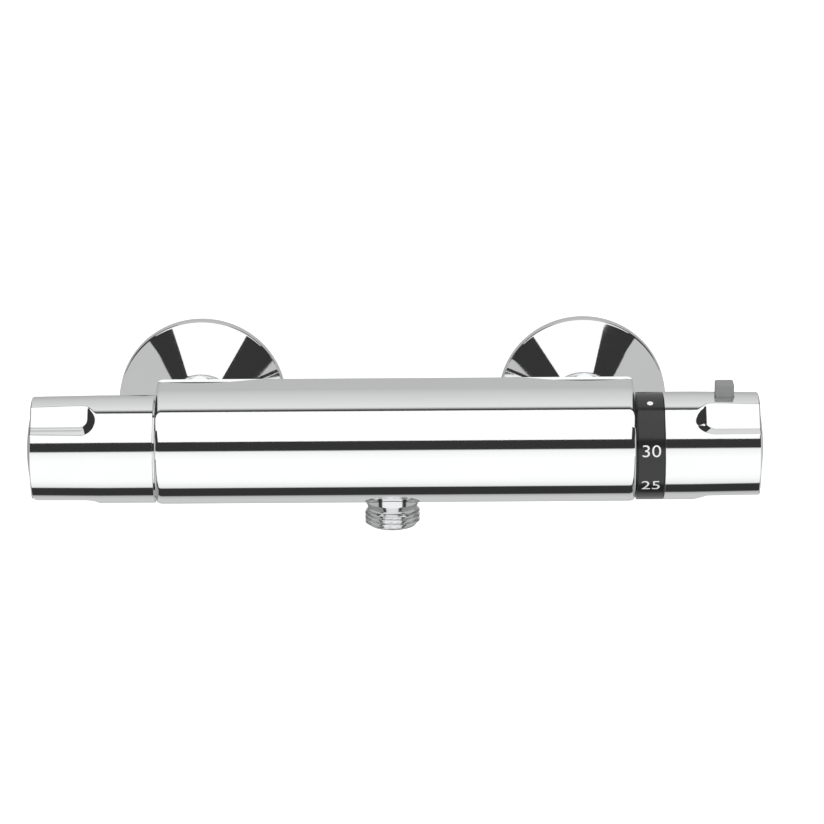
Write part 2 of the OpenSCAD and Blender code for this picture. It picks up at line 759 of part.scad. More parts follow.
module thermostat_nut() color("darkkhaki") on_bar(0) difference() {
    sleeve(cold_end + band_three + fit, body_right - face_gap, nut_ring_r, head_neck_r + fit);
    for (turn = [0, 90]) rotate([0, 0, turn])
        translate([-nut_ring_r - cut, -nut_slot_w / 2, body_right - face_gap - nut_slot])
            cube([2 * nut_ring_r + 2 * cut, nut_slot_w, nut_slot + cut]);
}
module thermostat_filters() color("silver") on_bar(0)
    for (span = [[housing_x + band_one, hot_end], [hot_end + band_two, cold_end]]) difference() {
        sleeve(span[0] + face_gap, span[1] - face_gap, groove_r + fit + filter_wall, groove_r + fit);
        windows(span[0] + filter_rim, span[1] - span[0] - 2 * filter_rim, filter_slot_w, filter_slots, band_r);
    }
module stop_ring() color("dimgray") on_bar(0) {
    sleeve(head_end - stop_len, head_end, stop_r, head_neck_r + fit);
    rotate([0, 0, 180 + stop_from]) translate([0, 0, head_end - fit])
        rotate_extrude(angle = stop_to - stop_from) translate([stop_tab_in, 0])
            square([stop_tab_out - stop_tab_in, stop_tab + fit]);
}
module return_spring() color("silver") on_bar(0)
    coil("return spring", return_curls, return_coil_r, return_wire, housing_x + lip_len + face_gap, shuttle_web_x - face_gap);
module wax_element() color("goldenrod") on_bar(0) {
    disc(wax_x, wax_end + fit, wax_r);
    disc(wax_end, wax_end + wax_collar, wax_collar_r);
    disc(wax_end + wax_collar - fit, reg_screw_x - wax_free, wax_piston_r);
}
module shuttle() color("ivory") on_bar(0) {
    sleeve(shuttle_x, shuttle_x + shuttle_len, housing_bore - run, housing_bore - run - shuttle_wall);
    sleeve(shuttle_web_x, wax_end - fit, wax_r + shuttle_wall, wax_r + fit);
    difference() {
        for (i = [0 : 3]) rotate([0, 0, 90 * i])
            translate([0, -shuttle_spoke / 2, shuttle_web_x]) cube([housing_bore - shuttle_wall, shuttle_spoke, shuttle_web]);
        disc(shuttle_web_x - cut, shuttle_web_x + shuttle_web + cut, wax_r + fit);
    }
}
module carrier_section() {
    circle(r = housing_bore - run);
    rotate(key_turn) translate([0, -key_w / 2]) square([housing_bore + key_h - run, key_w]);
}
module overload_carrier() color("darkkhaki") on_bar(0) difference() {
    translate([0, 0, carrier_x]) linear_extrude(carrier_len) carrier_section();
    disc(carrier_x - cut, carrier_x + carrier_cup, carrier_cup_r);
    disc(carrier_x + carrier_cup - cut, carrier_x + carrier_len + cut, reg_screw_r + run);
}
module overload_spring() color("silver") on_bar(0)
    coil("overload spring", overload_curls, overload_coil_r, overload_wire,
        wax_end + wax_collar + face_gap, carrier_x + carrier_cup - face_gap);
module regulating_spindle() color("darkkhaki") on_bar(0) difference() {
    union() {
        disc(reg_screw_x, cold_end + face_gap + fit, reg_screw_r);
        disc(cold_end + face_gap, cold_end + face_gap + reg_flange, reg_flange_r);
        disc(cold_end + face_gap, reg_spline_x, reg_shaft_r);
        spline(reg_spline_x - fit, reg_spline_x + reg_spline_len, spline_r);
    }
    disc(reg_spline_x + screw_reserve, reg_spline_x + reg_spline_len + cut, screw_r + run);
    groove(reg_ring_x, reg_shaft_r - 2 * seal_ring + fit, seal_ring, reg_shaft_r);
}
module temperature_spindle_seal() color("black") on_bar(0)
    o_ring(reg_ring_x, reg_shaft_r - seal_ring + fit, seal_ring);

// Temperature handle
module rounded_box(w, l, r) for (x = [-1, 1]) for (y = [-1, 1])
    translate([x * (w / 2 - r), y * (l / 2 - r)]) circle(r = r, $fn = 32);
module rounded_plate(w, l, r) {
    rounded_box(w, l, r);
    square([w - 2 * r, l], center = true);
    square([w, l - 2 * r], center = true);
}
module button_place(z) translate([button_x, axis_y, axis_z + z]) children();
module temperature_handle() color("gainsboro") {
    difference() {
        on_bar(0) difference() {
            union() {
                disc(scale_x + collar_inset, knob_x + fit, scale_bore - fit);
                knob_skin(knob_x, temp_tip);
            }
            disc(scale_x - cut, knob_x, collar_bore);
            disc(knob_x - fit, temp_web, inner_r);
            disc(temp_web - cut, temp_web + web_len + cut, screw_r + face_gap);
            disc(temp_web + web_len, temp_tip + cut, inner_r);
            disc(temp_tip - cap_seat - face_gap, temp_tip + cut, cap_r);
            scale_key_shape(fit);
        }
        recesses(1, temp_tip);
        button_place(inner_r - 2 * cut) linear_extrude(knob_r)
            rounded_plate(button_w + 2 * slot_gap, button_l + 2 * slot_gap, button_round);
        translate([temp_web - cut, axis_y - arm_w / 2 - arm_gap, axis_z + foot_top - foot_h - button_travel - arm_gap])
            cube([web_len + 2 * cut, arm_w + 2 * arm_gap, foot_h + button_travel + 2 * arm_gap]);
    }
    on_bar(0) hub(reg_spline_x + arm_gap, temp_web, reg_spline_x + reg_spline_len + face_gap);
    translate([temp_web + web_len - fit, axis_y - shelf_w / 2, axis_z + shelf_top - shelf_len])
        cube([button_x + shelf_reach - temp_web - web_len + fit, shelf_w, shelf_len]);
}
module scale_key_shape(grow) translate([-scale_bore - cut * sign(grow), -scale_key_w / 2 - grow, scale_x - grow])
    cube([scale_key + cut * sign(grow), scale_key_w + 2 * grow, scale_len + 2 * grow]);
module scale_ring() color("black") on_bar(0) {
    sleeve(scale_x, knob_x - face_gap, knob_r - face_gap / 2, scale_bore);
    translate([-scale_bore - fit, -scale_key_w / 2, scale_x])
        cube([scale_key + fit, scale_key_w, scale_len - face_gap]);
}
module temperature_handle_cap() color("gainsboro") on_bar(0) handle_cap(temp_tip);
module temperature_handle_screw() color("silver") on_bar(0)
    handle_screw(temp_web + web_len + face_gap, temp_web + web_len - reg_spline_x - 2 * screw_reserve);
module safety_button() color("gray") {
    intersection() {
        button_place(foot_top - fit) linear_extrude(button_top - foot_top + fit)
            rounded_plate(button_w, button_l, button_round);
        button_place(0) translate([0, button_l / 2 + cut, 0]) rotate([90, 0, 0])
            linear_extrude(button_l + 2 * cut) translate([0, button_top / 2])
                rounded_plate(button_w, button_top, button_round);
    }
    button_place(foot_top - foot_h) translate([0, 0, foot_h / 2])
        cube([button_w + 2 * foot_extra, button_l, foot_h], center = true);
    translate([arm_tip_x, axis_y - arm_w / 2, axis_z + foot_top - foot_h])
        cube([button_x - button_w / 2 - arm_tip_x, arm_w, foot_h]);
}
module button_spring() color("silver") button_place(0)
    coil("button spring", button_curls, button_coil_r, button_wire, shelf_top + face_gap, foot_top - foot_h - face_gap);

body();
index_mark();
outlet_nipple();
inlet_nipple(-1);  // inlet_nipple_left
inlet_nipple(1);  // inlet_nipple_right
union_nut(-1);  // union_nut_left
union_nut(1);  // union_nut_right
inlet_strainer(-1);  // inlet_strainer_left
inlet_strainer(1);  // inlet_strainer_right
offset_union(-1);  // offset_union_left
offset_union(1);  // offset_union_right
rosette(-1);  // rosette_left
rosette(1);  // rosette_right
check_valve_cage(-1);  // check_valve_cage_left
check_valve_cage(1);  // check_valve_cage_right
check_valve_seal(-1);  // check_valve_seal_left
check_valve_seal(1);  // check_valve_seal_right
check_valve_poppet(-1);  // check_valve_poppet_left
check_valve_poppet(1);  // check_valve_poppet_right
check_valve_spring(-1);  // check_valve_spring_left
check_valve_spring(1);  // check_valve_spring_right
flow_headwork();
headwork_seal();
flow_trim_ring();
fixed_disc();
disc_seat_seal();
flow_handle();
flow_handle_cap();
flow_handle_screw();
flow_spindle();
moving_disc();
flow_spindle_seals();
spindle_clip();
mixed_water_tube();
tube_seals();
thermostat_housing();
thermostat_head();
thermostat_nut();
thermostat_seals();
thermostat_filters();
stop_ring();
return_spring();
wax_element();
shuttle();
overload_carrier();
overload_spring();
temperature_handle();
scale_ring();
temperature_handle_cap();
temperature_handle_screw();
regulating_spindle();
temperature_spindle_seal();
safety_button();
button_spring();
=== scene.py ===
"""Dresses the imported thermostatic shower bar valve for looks.

Sizes are in millimetres in the classes below and turn into metres where a mesh is made. Along the bar
means the X axis; the bar's axis lies in front of the wall and a little below the supplies.
"""

import json
import logging
import math
from dataclasses import dataclass, field
from enum import Enum
from typing import Any, Callable, Iterable, Optional, Sequence, Union

import bmesh
import bpy
import numpy as np
from mathutils import Matrix, Vector


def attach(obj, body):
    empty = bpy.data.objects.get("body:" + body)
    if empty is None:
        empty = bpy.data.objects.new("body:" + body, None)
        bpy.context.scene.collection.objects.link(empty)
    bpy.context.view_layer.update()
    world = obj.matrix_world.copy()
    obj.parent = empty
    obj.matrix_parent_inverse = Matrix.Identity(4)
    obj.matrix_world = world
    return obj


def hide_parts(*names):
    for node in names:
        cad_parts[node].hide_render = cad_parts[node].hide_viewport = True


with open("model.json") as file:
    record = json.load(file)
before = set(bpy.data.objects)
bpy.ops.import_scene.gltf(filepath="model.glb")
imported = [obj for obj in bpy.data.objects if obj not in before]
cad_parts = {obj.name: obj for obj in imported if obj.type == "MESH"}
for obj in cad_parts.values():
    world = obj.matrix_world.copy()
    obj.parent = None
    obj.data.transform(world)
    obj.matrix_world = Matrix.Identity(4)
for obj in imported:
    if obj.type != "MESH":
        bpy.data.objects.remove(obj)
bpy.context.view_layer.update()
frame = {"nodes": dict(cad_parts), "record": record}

LOG = logging.getLogger("shower_valve")
MM = 0.001
AXIS_Y = -65.0
AXIS_Z = -8.0
SUPPLY_X = 75.0
TO_RIGHT = Matrix.Translation((2 * SUPPLY_X * MM, 0.0, 0.0))
TURN_STEPS = 192
FINE_STEPS = 256
KNOB_STEPS = 324
MERGE_M = 2e-7
Piece = bpy.types.Object
Shader = bpy.types.Node
Values = Optional[dict]
Numbers = Union[float, np.ndarray]
Points = list[tuple[float, float]]


# Shader maths


class Link:
    """An output socket whose arithmetic adds Math nodes."""

    def __init__(self, desk: "ShaderDesk", socket: bpy.types.NodeSocket) -> None:
        """Wraps an output socket of a desk's tree."""
        self.desk = desk
        self.socket = socket

    def _math(self, operation: str, other: Any) -> "Link":
        """Adds one Math node."""
        return self.desk.out("ShaderNodeMath", "Value", {"operation": operation}, {0: self, 1: other})

    def __add__(self, other: Any) -> "Link":
        """Adds."""
        return self._math("ADD", other)

    __radd__ = __add__

    def __mul__(self, other: Any) -> "Link":
        """Multiplies."""
        return self._math("MULTIPLY", other)

    def __sub__(self, other: Any) -> "Link":
        """Subtracts."""
        return self._math("SUBTRACT", other)

    def over(self, other: Any) -> "Link":
        """Gives 1 where this is more than the other, else 0."""
        return self._math("GREATER_THAN", other)

    def size(self) -> "Link":
        """Gives the value without its sign."""
        return self._math("ABSOLUTE", 0.0)

    def angle(self, other: Any) -> "Link":
        """Gives the angle of a point whose height is this and whose reach is the other."""
        return self._math("ARCTAN2", other)


class ShaderDesk:
    """Builds one node tree."""

    def __init__(self, owner: Union[bpy.types.Material, bpy.types.World]) -> None:
        """Empties a node tree.

        Args:
            owner: The material or world that the tree belongs to.
        """
        owner.use_nodes = True
        self.tree = owner.node_tree
        self.tree.nodes.clear()

    def node(self, kind: str, settings: Values = None, inputs: Values = None) -> bpy.types.Node:
        """Adds a node.

        Args:
            kind: The node's type name.
            settings: Values of its own settings; "stops" holds a ramp's stops.
            inputs: Values, links or shaders for its sockets, by name or number.

        Returns:
            The new node.
        """
        made = self.tree.nodes.new(kind)
        for name, value in (settings or {}).items():
            if name == "stops":
                self._set_stops(made.color_ramp, value)
            else:
                setattr(made, name, value)
        for name, value in (inputs or {}).items():
            if isinstance(value, Link):
                self.tree.links.new(value.socket, made.inputs[name])
            elif isinstance(value, bpy.types.Node):
                self.tree.links.new(value.outputs[0], made.inputs[name])
            else:
                made.inputs[name].default_value = value
        return made

    @staticmethod
    def _set_stops(ramp: bpy.types.ColorRamp, stops: Iterable[tuple[float, float]]) -> None:
        """Gives a ramp its stops.

        Args:
            ramp: The ramp.
            stops: The place and the grey of each stop.
        """
        while len(ramp.elements) > 1:
            ramp.elements.remove(ramp.elements[-1])
        for number, (place, grey) in enumerate(stops):
            stop = ramp.elements[0] if number == 0 else ramp.elements.new(place)
            stop.position = place
            stop.color = tone(grey)

    def out(self, kind: str, socket: str, settings: Values = None, inputs: Values = None) -> Link:
        """Adds a node and returns one of its outputs."""
        return Link(self, self.node(kind, settings, inputs).outputs[socket])

    def noise(self, place: Link, scale: float, detail: float) -> Link:
        """Adds a noise texture read at a place."""
        sockets = {"Vector": place, "Scale": scale, "Detail": detail}
        return self.out("ShaderNodeTexNoise", "Fac", None, sockets)

    def streaks(self, place: Link, scale: Sequence[float], detail: float) -> Link:
        """Adds a noise texture drawn out by a scale for each axis."""
        drawn = self.out("ShaderNodeMapping", "Vector", None, {"Vector": place, "Scale": scale})
        return self.noise(drawn, 1.0, detail)

    def ramp(self, place: Link, stops: Iterable[tuple[float, float]]) -> Link:
        """Turns a value into a grey by a ramp."""
        return self.out("ShaderNodeValToRGB", "Color", {"stops": stops}, {0: place})

    def mix(self, factor: Any, first: Any, second: Any) -> Link:
        """Mixes two colours."""
        made = self.node("ShaderNodeMix", {"data_type": "RGBA"}, {0: factor, 6: first, 7: second})
        return Link(self, made.outputs[2])

    def bump(self, height: Link, strength: float, depth: float) -> Link:
        """Turns a height into a normal."""
        sockets = {"Strength": strength, "Distance": depth, "Height": height}
        return self.out("ShaderNodeBump", "Normal", None, sockets)

    def coat(self, shade: Link, rough: Link, normal: Link, metallic: float = 0.0) -> Shader:
        """Adds the surface shader."""
        sockets = {"Base Color": shade, "Metallic": metallic, "Roughness": rough, "Normal": normal}
        return self.node("ShaderNodeBsdfPrincipled", None, sockets)

    def glow(self, strength: float) -> Shader:
        """Adds a white glow."""
        return self.node("ShaderNodeEmission", None, {"Color": tone(1.0), "Strength": strength})

    def end(self, shader: Shader, kind: str = "ShaderNodeOutputMaterial") -> None:
        """Joins a shader to the tree's output."""
        self.node(kind, None, {"Surface": shader})


def tone(red: float, green: Optional[float] = None, blue: Optional[float] = None) -> tuple:
    """Gives a colour with its alpha, grey when only one number is named."""
    return (red, red if green is None else green, red if blue is None else blue, 1.0)


@dataclass(frozen=True)
class Finish:
    """A surface finish that makes one material."""

    name: str
    slot: str

    def surface(self, desk: ShaderDesk, place: Link) -> Shader:
        """Builds the surface shader from a desk and the object's coordinates."""
        raise NotImplementedError

    def material(self) -> bpy.types.Material:
        """Makes the material, or gives the one made before.

        Returns:
            The finish's one material.
        """
        made = bpy.data.materials.get(self.name)
        if made is None:
            made = bpy.data.materials.new(self.name)
            desk = ShaderDesk(made)
            desk.end(self.surface(desk, desk.out("ShaderNodeTexCoord", "Object")))
        return made


@dataclass(frozen=True)
class Chrome(Finish):
    """Mirror plating with a faint haze, polishing marks and dust."""

    tint: tuple = (0.93, 0.935, 0.94)
    roughness: float = 0.035
    marks: float = 0.2

    def surface(self, desk: ShaderDesk, place: Link) -> Shader:
        """Builds the plating: haze in the roughness, turning marks across the bar.

        Args:
            desk: The material's desk.
            place: The object's coordinates.

        Returns:
            The surface shader.
        """
        haze = desk.noise(place, 55.0, 3.0)
        film = desk.noise(place, 420.0, 2.0)
        turned = desk.streaks(place, (2600.0, 14.0, 14.0), 3.0)
        rough = self.roughness + haze * 0.018 + turned * (0.02 * self.marks)
        dull = tone(*(0.93 * c for c in self.tint))
        shade = desk.mix(haze * 0.35 + turned * (0.25 * self.marks), tone(*self.tint), dull)
        return desk.coat(shade, rough, desk.bump(film, 0.02, 0.00005), metallic=1.0)


@dataclass(frozen=True)
class Metal(Finish):
    """Bare turned metal with fine tool marks and light tarnish."""

    colour: tuple
    roughness: float = 0.28

    def surface(self, desk: ShaderDesk, place: Link) -> Shader:
        """Builds the metal: tool marks in the roughness, tarnish in the colour.

        Args:
            desk: The material's desk.
            place: The object's coordinates.

        Returns:
            The surface shader.
        """
        tarnish = desk.noise(place, 140.0, 4.0)
        marks = desk.streaks(place, (3000.0, 60.0, 60.0), 2.0)
        shade = desk.mix(tarnish, tone(*self.colour), tone(*(0.7 * c for c in self.colour)))
        return desk.coat(shade, self.roughness + marks * 0.15, desk.bump(marks, 0.15, 0.0001), metallic=1.0)


@dataclass(frozen=True)
class Moulded(Finish):
    """Moulded plastic, rubber or ceramic with a fine grain and worn sheen."""

    colour: tuple
    roughness: float = 0.45
    grain: float = 0.25
    mottle: float = 0.2

    def surface(self, desk: ShaderDesk, place: Link) -> Shader:
        """Builds the moulding: cloudy colour, grain as bump, uneven gloss.

        Args:
            desk: The material's desk.
            place: The object's coordinates.

        Returns:
            The surface shader.
        """
        cloud = desk.noise(place, 160.0, 4.0)
        grain = desk.noise(place, 5200.0, 2.0)
        worn = tone(*(min(1.0, 1.5 * c + 0.02) for c in self.colour))
        shade = desk.mix(cloud * self.mottle, tone(*self.colour), worn)
        rough = self.roughness + cloud * 0.16 - 0.08
        return desk.coat(shade, rough, desk.bump(grain, self.grain, 0.00004))


CHROME = Chrome("chrome_plating", "chrome", marks=0.15)
# Painted shade: the thread's plating is tinted darker than the other chrome to stand in for the shade
# between its ridges; its higher roughness and stronger turning marks are real finish.
THREAD_CHROME_PAINTED_SHADE = Chrome("thread_plating_painted_shade", "chrome", (0.8, 0.805, 0.81), 0.11, 1.0)
HANDLE_CHROME = Chrome("handle_plating", "handle_chrome", marks=1.0)
SCALE_PLASTIC = Moulded("scale_moulding", "scale_plastic", (0.016, 0.0162, 0.017), 0.16, 0.1, 0.1)
BUTTON_PLASTIC = Moulded("button_moulding", "button_plastic", (0.24, 0.245, 0.245), 0.5)
WHITE_PRINT = Moulded("white_print", "white_dot", (0.86, 0.86, 0.85), 0.4, 0.1, 0.1)
BRASS = Metal("turned_brass", "brass", (0.72, 0.52, 0.24))
COPPER = Metal("copper_cup", "copper_wax", (0.74, 0.42, 0.26), 0.25)
STEEL = Metal("stainless_steel", "steel", (0.6, 0.6, 0.61), 0.22)
CERAMIC = Moulded("lapped_ceramic", "ceramic", (0.82, 0.81, 0.77), 0.2, 0.05)
RUBBER = Moulded("black_rubber", "rubber", (0.02, 0.02, 0.021), 0.6)
IVORY = Moulded("natural_plastic", "valve_plastic", (0.74, 0.72, 0.64), 0.4)
DARK_PLASTIC = Moulded("cartridge_moulding", "cartridge_plastic", (0.1, 0.1, 0.11), 0.5)
SLOT_FINISHES = (
    CHROME, HANDLE_CHROME, SCALE_PLASTIC, BUTTON_PLASTIC, WHITE_PRINT, BRASS, COPPER, STEEL, CERAMIC,
    RUBBER, IVORY, DARK_PLASTIC,
)


# Modelling


class Line(Enum):
    """The line that a turned piece is spun about: a point on it, its direction and the way out from it."""

    BAR = ((0.0, AXIS_Y, AXIS_Z), (1, 0, 0), (0, 0, 1))
    BAR_LEFT = ((0.0, AXIS_Y, AXIS_Z), (-1, 0, 0), (0, 0, 1))
    LEFT_INLET = ((-SUPPLY_X, AXIS_Y, AXIS_Z), (0, 1, 0), (0, 0, 1))
    LEFT_SUPPLY = ((-SUPPLY_X, AXIS_Y, 0.0), (0, 1, 0), (0, 0, 1))
    OUTLET = ((0.0, AXIS_Y, AXIS_Z), (0, 0, -1), (1, 0, 0))

    @property
    def origin(self) -> Vector:
        """A point on the line, in metres."""
        return Vector(self.value[0]) * MM

    @property
    def way(self) -> Vector:
        """The line's direction."""
        return Vector(self.value[1])

    def at(self, along: float, out: float) -> Vector:
        """Gives the point in metres at a distance along the line and out from it."""
        origin, way, outward = self.value
        return (Vector(origin) + Vector(way) * float(along) + Vector(outward) * float(out)) * MM


@dataclass(frozen=True)
class Corner:
    """A corner of a turned piece's profile.

    A radius above 0 rounds it, 0 keeps it sharp between flats, and -1 takes it as a bare point.
    """

    along: float
    out: float
    round: float = 0.0


def profile(*spots: Sequence[float]) -> list[Corner]:
    """Turns spots of two or three numbers, as a corner has them, into corners."""
    return [Corner(*spot) for spot in spots]


def sharp_corner(here: np.ndarray, before: np.ndarray, after: np.ndarray) -> Points:
    """Gives a sharp corner and a point close to it on either side, which keeps flats flat.

    Args:
        here: The corner.
        before: The corner before it.
        after: The corner after it.

    Returns:
        Three points.
    """
    near = []
    for other in (before, after):
        gap = other - here
        far = float(np.hypot(*gap))
        near.append(tuple(here + gap / far * min(0.15, far * 0.2)))
    return [near[0], tuple(here), near[1]]


def round_corner(here: np.ndarray, before: np.ndarray, after: np.ndarray, size: float) -> Points:
    """Gives a corner's arc and a point close to each of its ends, which keeps flats flat.

    Args:
        here: The corner.
        before: The corner before it.
        after: The corner after it.
        size: The radius, made smaller where the sides are too short for it.

    Returns:
        The points in order.
    """
    back, ahead = before - here, after - here
    back_len, ahead_len = np.hypot(*back), np.hypot(*ahead)
    back, ahead = back / back_len, ahead / ahead_len
    half = math.acos(float(np.clip(back @ ahead, -1, 1))) / 2
    tangent = min(size / math.tan(half), 0.42 * back_len, 0.42 * ahead_len)
    radius = tangent * math.tan(half)
    middle = here + (back + ahead) / np.hypot(*(back + ahead)) * radius / math.sin(half)
    start, stop = here + back * tangent, here + ahead * tangent
    steps = max(2, math.ceil(math.degrees(math.pi - 2 * half) / 11))
    first, last = start - middle, stop - middle
    begin = math.atan2(first[1], first[0])
    sweep = (math.atan2(last[1], last[0]) - begin + math.pi) % (2 * math.pi) - math.pi
    points = [tuple(start + back * min(0.2, back_len * 0.08))]
    for k in range(steps + 1):
        angle = begin + sweep * k / steps
        points.append((middle[0] + radius * math.cos(angle), middle[1] + radius * math.sin(angle)))
    return points + [tuple(stop + ahead * min(0.2, ahead_len * 0.08))]


def rounded(corners: Sequence[Corner], closed: bool) -> Points:
    """Turns corners into a profile.

    Args:
        corners: The profile's corners in order.
        closed: Whether the last corner joins the first.

    Returns:
        The profile's points as (along, out).
    """
    spots = [np.array((c.along, c.out)) for c in corners]
    path: Points = []
    for i, corner in enumerate(corners):
        near = (spots[i], spots[i - 1], spots[(i + 1) % len(spots)])
        if corner.round < 0 or (not closed and i in (0, len(spots) - 1)):
            path.append(tuple(spots[i]))
        elif corner.round == 0:
            path += sharp_corner(*near)
        else:
            path += round_corner(*near, corner.round)
    return path


def arc(centre: np.ndarray, size: float, first: float, last: float, steps: int) -> Points:
    """Lists the points of an arc.

    Args:
        centre: The arc's centre.
        size: Its radius.
        first: The angle in degrees where it starts.
        last: The angle in degrees where it ends.
        steps: How many steps it has.

    Returns:
        The points in order.
    """
    turns = np.radians(np.linspace(first, last, steps + 1))
    return [(centre[0] + size * math.cos(t), centre[1] + size * math.sin(t)) for t in turns]


class Bench:
    """Modelling steps that work on one new piece at a time, as by hand."""

    @staticmethod
    def clear() -> None:
        """Leaves edit mode and deselects everything."""
        if bpy.context.object and bpy.context.object.mode != "OBJECT":
            bpy.ops.object.mode_set(mode="OBJECT")
        bpy.ops.object.select_all(action="DESELECT")

    @classmethod
    def pick(cls, *pieces: Piece) -> None:
        """Selects only these pieces and makes the first one active.

        Args:
            pieces: The pieces.
        """
        cls.clear()
        for piece in pieces:
            piece.select_set(True)
        bpy.context.view_layer.objects.active = pieces[0]

    @staticmethod
    def edit_all() -> None:
        """Goes into edit mode with all of the active piece selected."""
        bpy.ops.object.mode_set(mode="EDIT")
        bpy.ops.mesh.select_all(action="SELECT")

    @staticmethod
    def named(piece: Piece, name: str) -> Piece:
        """Names a piece and its mesh."""
        piece.name = piece.data.name = name
        return piece

    @classmethod
    def fresh(cls, name: str) -> Piece:
        """Names the new primitive and puts its place and size into its mesh."""
        bpy.ops.object.transform_apply(location=True, rotation=True, scale=True)
        return cls.named(bpy.context.object, name)

    @classmethod
    def path(cls, name: str, points: Sequence[Vector], closed: bool) -> Piece:
        """Draws a line of vertices, each extruded from the one before.

        Args:
            name: The piece's name.
            points: The points in metres.
            closed: Whether the last point joins the first.

        Returns:
            The piece, left in edit mode with all of it selected.
        """
        cls.clear()
        bpy.ops.mesh.primitive_plane_add(size=MM, location=points[0])
        piece = cls.fresh(name)
        cls.edit_all()
        bpy.ops.mesh.merge(type="CENTER")
        for before, after in zip(points, points[1:]):
            bpy.ops.mesh.extrude_vertices_move(TRANSFORM_OT_translate={"value": after - before})
        if closed:
            shape = bmesh.from_edit_mesh(piece.data)
            for vertex in shape.verts:
                vertex.select = len(vertex.link_edges) == 1
            shape.select_flush_mode()
            bmesh.update_edit_mesh(piece.data)
            bpy.ops.mesh.edge_face_add()
        bpy.ops.mesh.select_all(action="SELECT")
        return piece

    @classmethod
    def turned(
        cls, name: str, line: Line, corners: Sequence[Corner], closed: bool = True, steps: int = TURN_STEPS,
        parts: int = 1,
    ) -> Piece:
        """Spins a rounded profile about a line.

        Args:
            name: The piece's name.
            line: The line to spin about.
            corners: The profile's corners.
            closed: Whether the profile closes; an open one starts and ends on the line.
            steps: How many steps a full turn has.
            parts: Into how many equal sectors the turn falls; only the first one is made.

        Returns:
            The piece, in object mode.
        """
        piece = cls.path(name, [line.at(along, out) for along, out in rounded(corners, closed)], closed)
        bpy.ops.mesh.spin(steps=steps // parts, angle=2 * math.pi / parts, center=line.origin, axis=line.way)
        return cls.weld(piece)

    @classmethod
    def copied(cls, piece: Piece, name: str, move: Matrix) -> Piece:
        """Copies a piece with its own mesh and moves the copy's mesh.

        Args:
            piece: The piece.
            name: The copy's name.
            move: How the copy's mesh moves.

        Returns:
            The copy.
        """
        cls.pick(piece)
        bpy.ops.object.duplicate()
        copy = cls.named(bpy.context.object, name)
        copy.data.transform(move)
        return copy

    @classmethod
    def around(cls, sector: Piece, line: Line, parts: int) -> Piece:
        """Copies a sector around its line until the turn is full, and welds the seams.

        Args:
            sector: The first sector.
            line: The line that it was spun about.
            parts: How many sectors a full turn has.

        Returns:
            The whole piece, in object mode.
        """
        centre = Matrix.Translation(line.origin)
        sectors = [sector]
        for number in range(1, parts):
            turn = Matrix.Rotation(2 * math.pi * number / parts, 4, line.way)
            move = centre @ turn @ centre.inverted()
            sectors.append(cls.copied(sector, f"{sector.name}_{number}", move))
        return cls.weld(cls.join(sector.name, *sectors))

    @classmethod
    def weld(cls, piece: Piece) -> Piece:
        """Merges doubles and turns all faces outwards, from edit or object mode.

        Args:
            piece: The piece.

        Returns:
            The piece, in object mode.
        """
        if piece.mode != "EDIT":
            cls.pick(piece)
        cls.edit_all()
        bpy.ops.mesh.remove_doubles(threshold=MERGE_M)
        bpy.ops.mesh.dissolve_degenerate(threshold=MERGE_M)
        bpy.ops.mesh.normals_make_consistent(inside=False)
        bpy.ops.object.mode_set(mode="OBJECT")
        return piece

    @staticmethod
    def press(piece: Piece, move: Callable[[np.ndarray], np.ndarray]) -> None:
        """Moves a piece's vertices by a rule, as a die presses a blank.

        Args:
            piece: The piece.
            move: Takes the vertices in millimetres and returns where they go.
        """
        flat = np.empty(len(piece.data.vertices) * 3, np.float64)
        piece.data.vertices.foreach_get("co", flat)
        places = move(flat.reshape(-1, 3) / MM) * MM
        piece.data.vertices.foreach_set("co", places.astype(np.float64).ravel())
        piece.data.update()

    @classmethod
    def sheet(cls, name: str, rows: np.ndarray) -> Piece:
        """Wraps a grid primitive onto rows of points and welds its seam.

        Args:
            name: The piece's name.
            rows: Points in millimetres, shaped (rows, columns, 3).

        Returns:
            The piece, in object mode.
        """
        high, wide = rows.shape[:2]
        cls.clear()
        bpy.ops.mesh.primitive_grid_add(x_subdivisions=wide - 1, y_subdivisions=high - 1, size=MM)
        piece = cls.named(bpy.context.object, name)
        cls.press(piece, lambda _: rows.reshape(-1, 3))
        return cls.weld(piece)

    @classmethod
    def block(
        cls, name: str, centre: Sequence[float], size: Sequence[float], upright: float, rim: float
    ) -> Piece:
        """Makes a block with rounded upright edges and a rounded rim.

        Args:
            name: The piece's name.
            centre: Its centre in millimetres.
            size: Its size in millimetres.
            upright: Radius of the upright edges.
            rim: Radius of the top and bottom edges.

        Returns:
            The piece, in object mode.
        """
        cls.clear()
        bpy.ops.mesh.primitive_cube_add(size=MM, location=Vector(centre) * MM, scale=size)
        piece = cls.fresh(name)
        bpy.ops.object.mode_set(mode="EDIT")
        for radius, level in ((upright, False), (rim, True)):
            shape = bmesh.from_edit_mesh(piece.data)
            for edge in shape.edges:
                rise = abs((edge.verts[0].co - edge.verts[1].co).z)
                on_rim = abs(edge.verts[0].co.z / MM - centre[2]) > size[2] / 2 - 0.01
                wanted = rise < MM * 0.01 and on_rim if level else rise > MM * size[2] * 0.9
                edge.select = edge.calc_face_angle(0.0) > 1.0 and wanted
            shape.select_flush(True)
            bmesh.update_edit_mesh(piece.data)
            bpy.ops.mesh.bevel(offset=radius * MM, segments=6, profile=0.5, affect="EDGES")
            bpy.ops.mesh.select_all(action="DESELECT")
        return cls.weld(piece)

    @staticmethod
    def split(spot: Sequence[float], way: Sequence[float], cut: bool = False) -> None:
        """Splits the piece in edit mode by a plane.

        Args:
            spot: A point on the plane, in the mesh's units.
            way: The plane's normal.
            cut: Whether what lies behind the plane is cut off and the cut is closed.
        """
        bpy.ops.mesh.select_all(action="SELECT")
        bpy.ops.mesh.bisect(plane_co=spot, plane_no=way, use_fill=cut, clear_inner=cut)

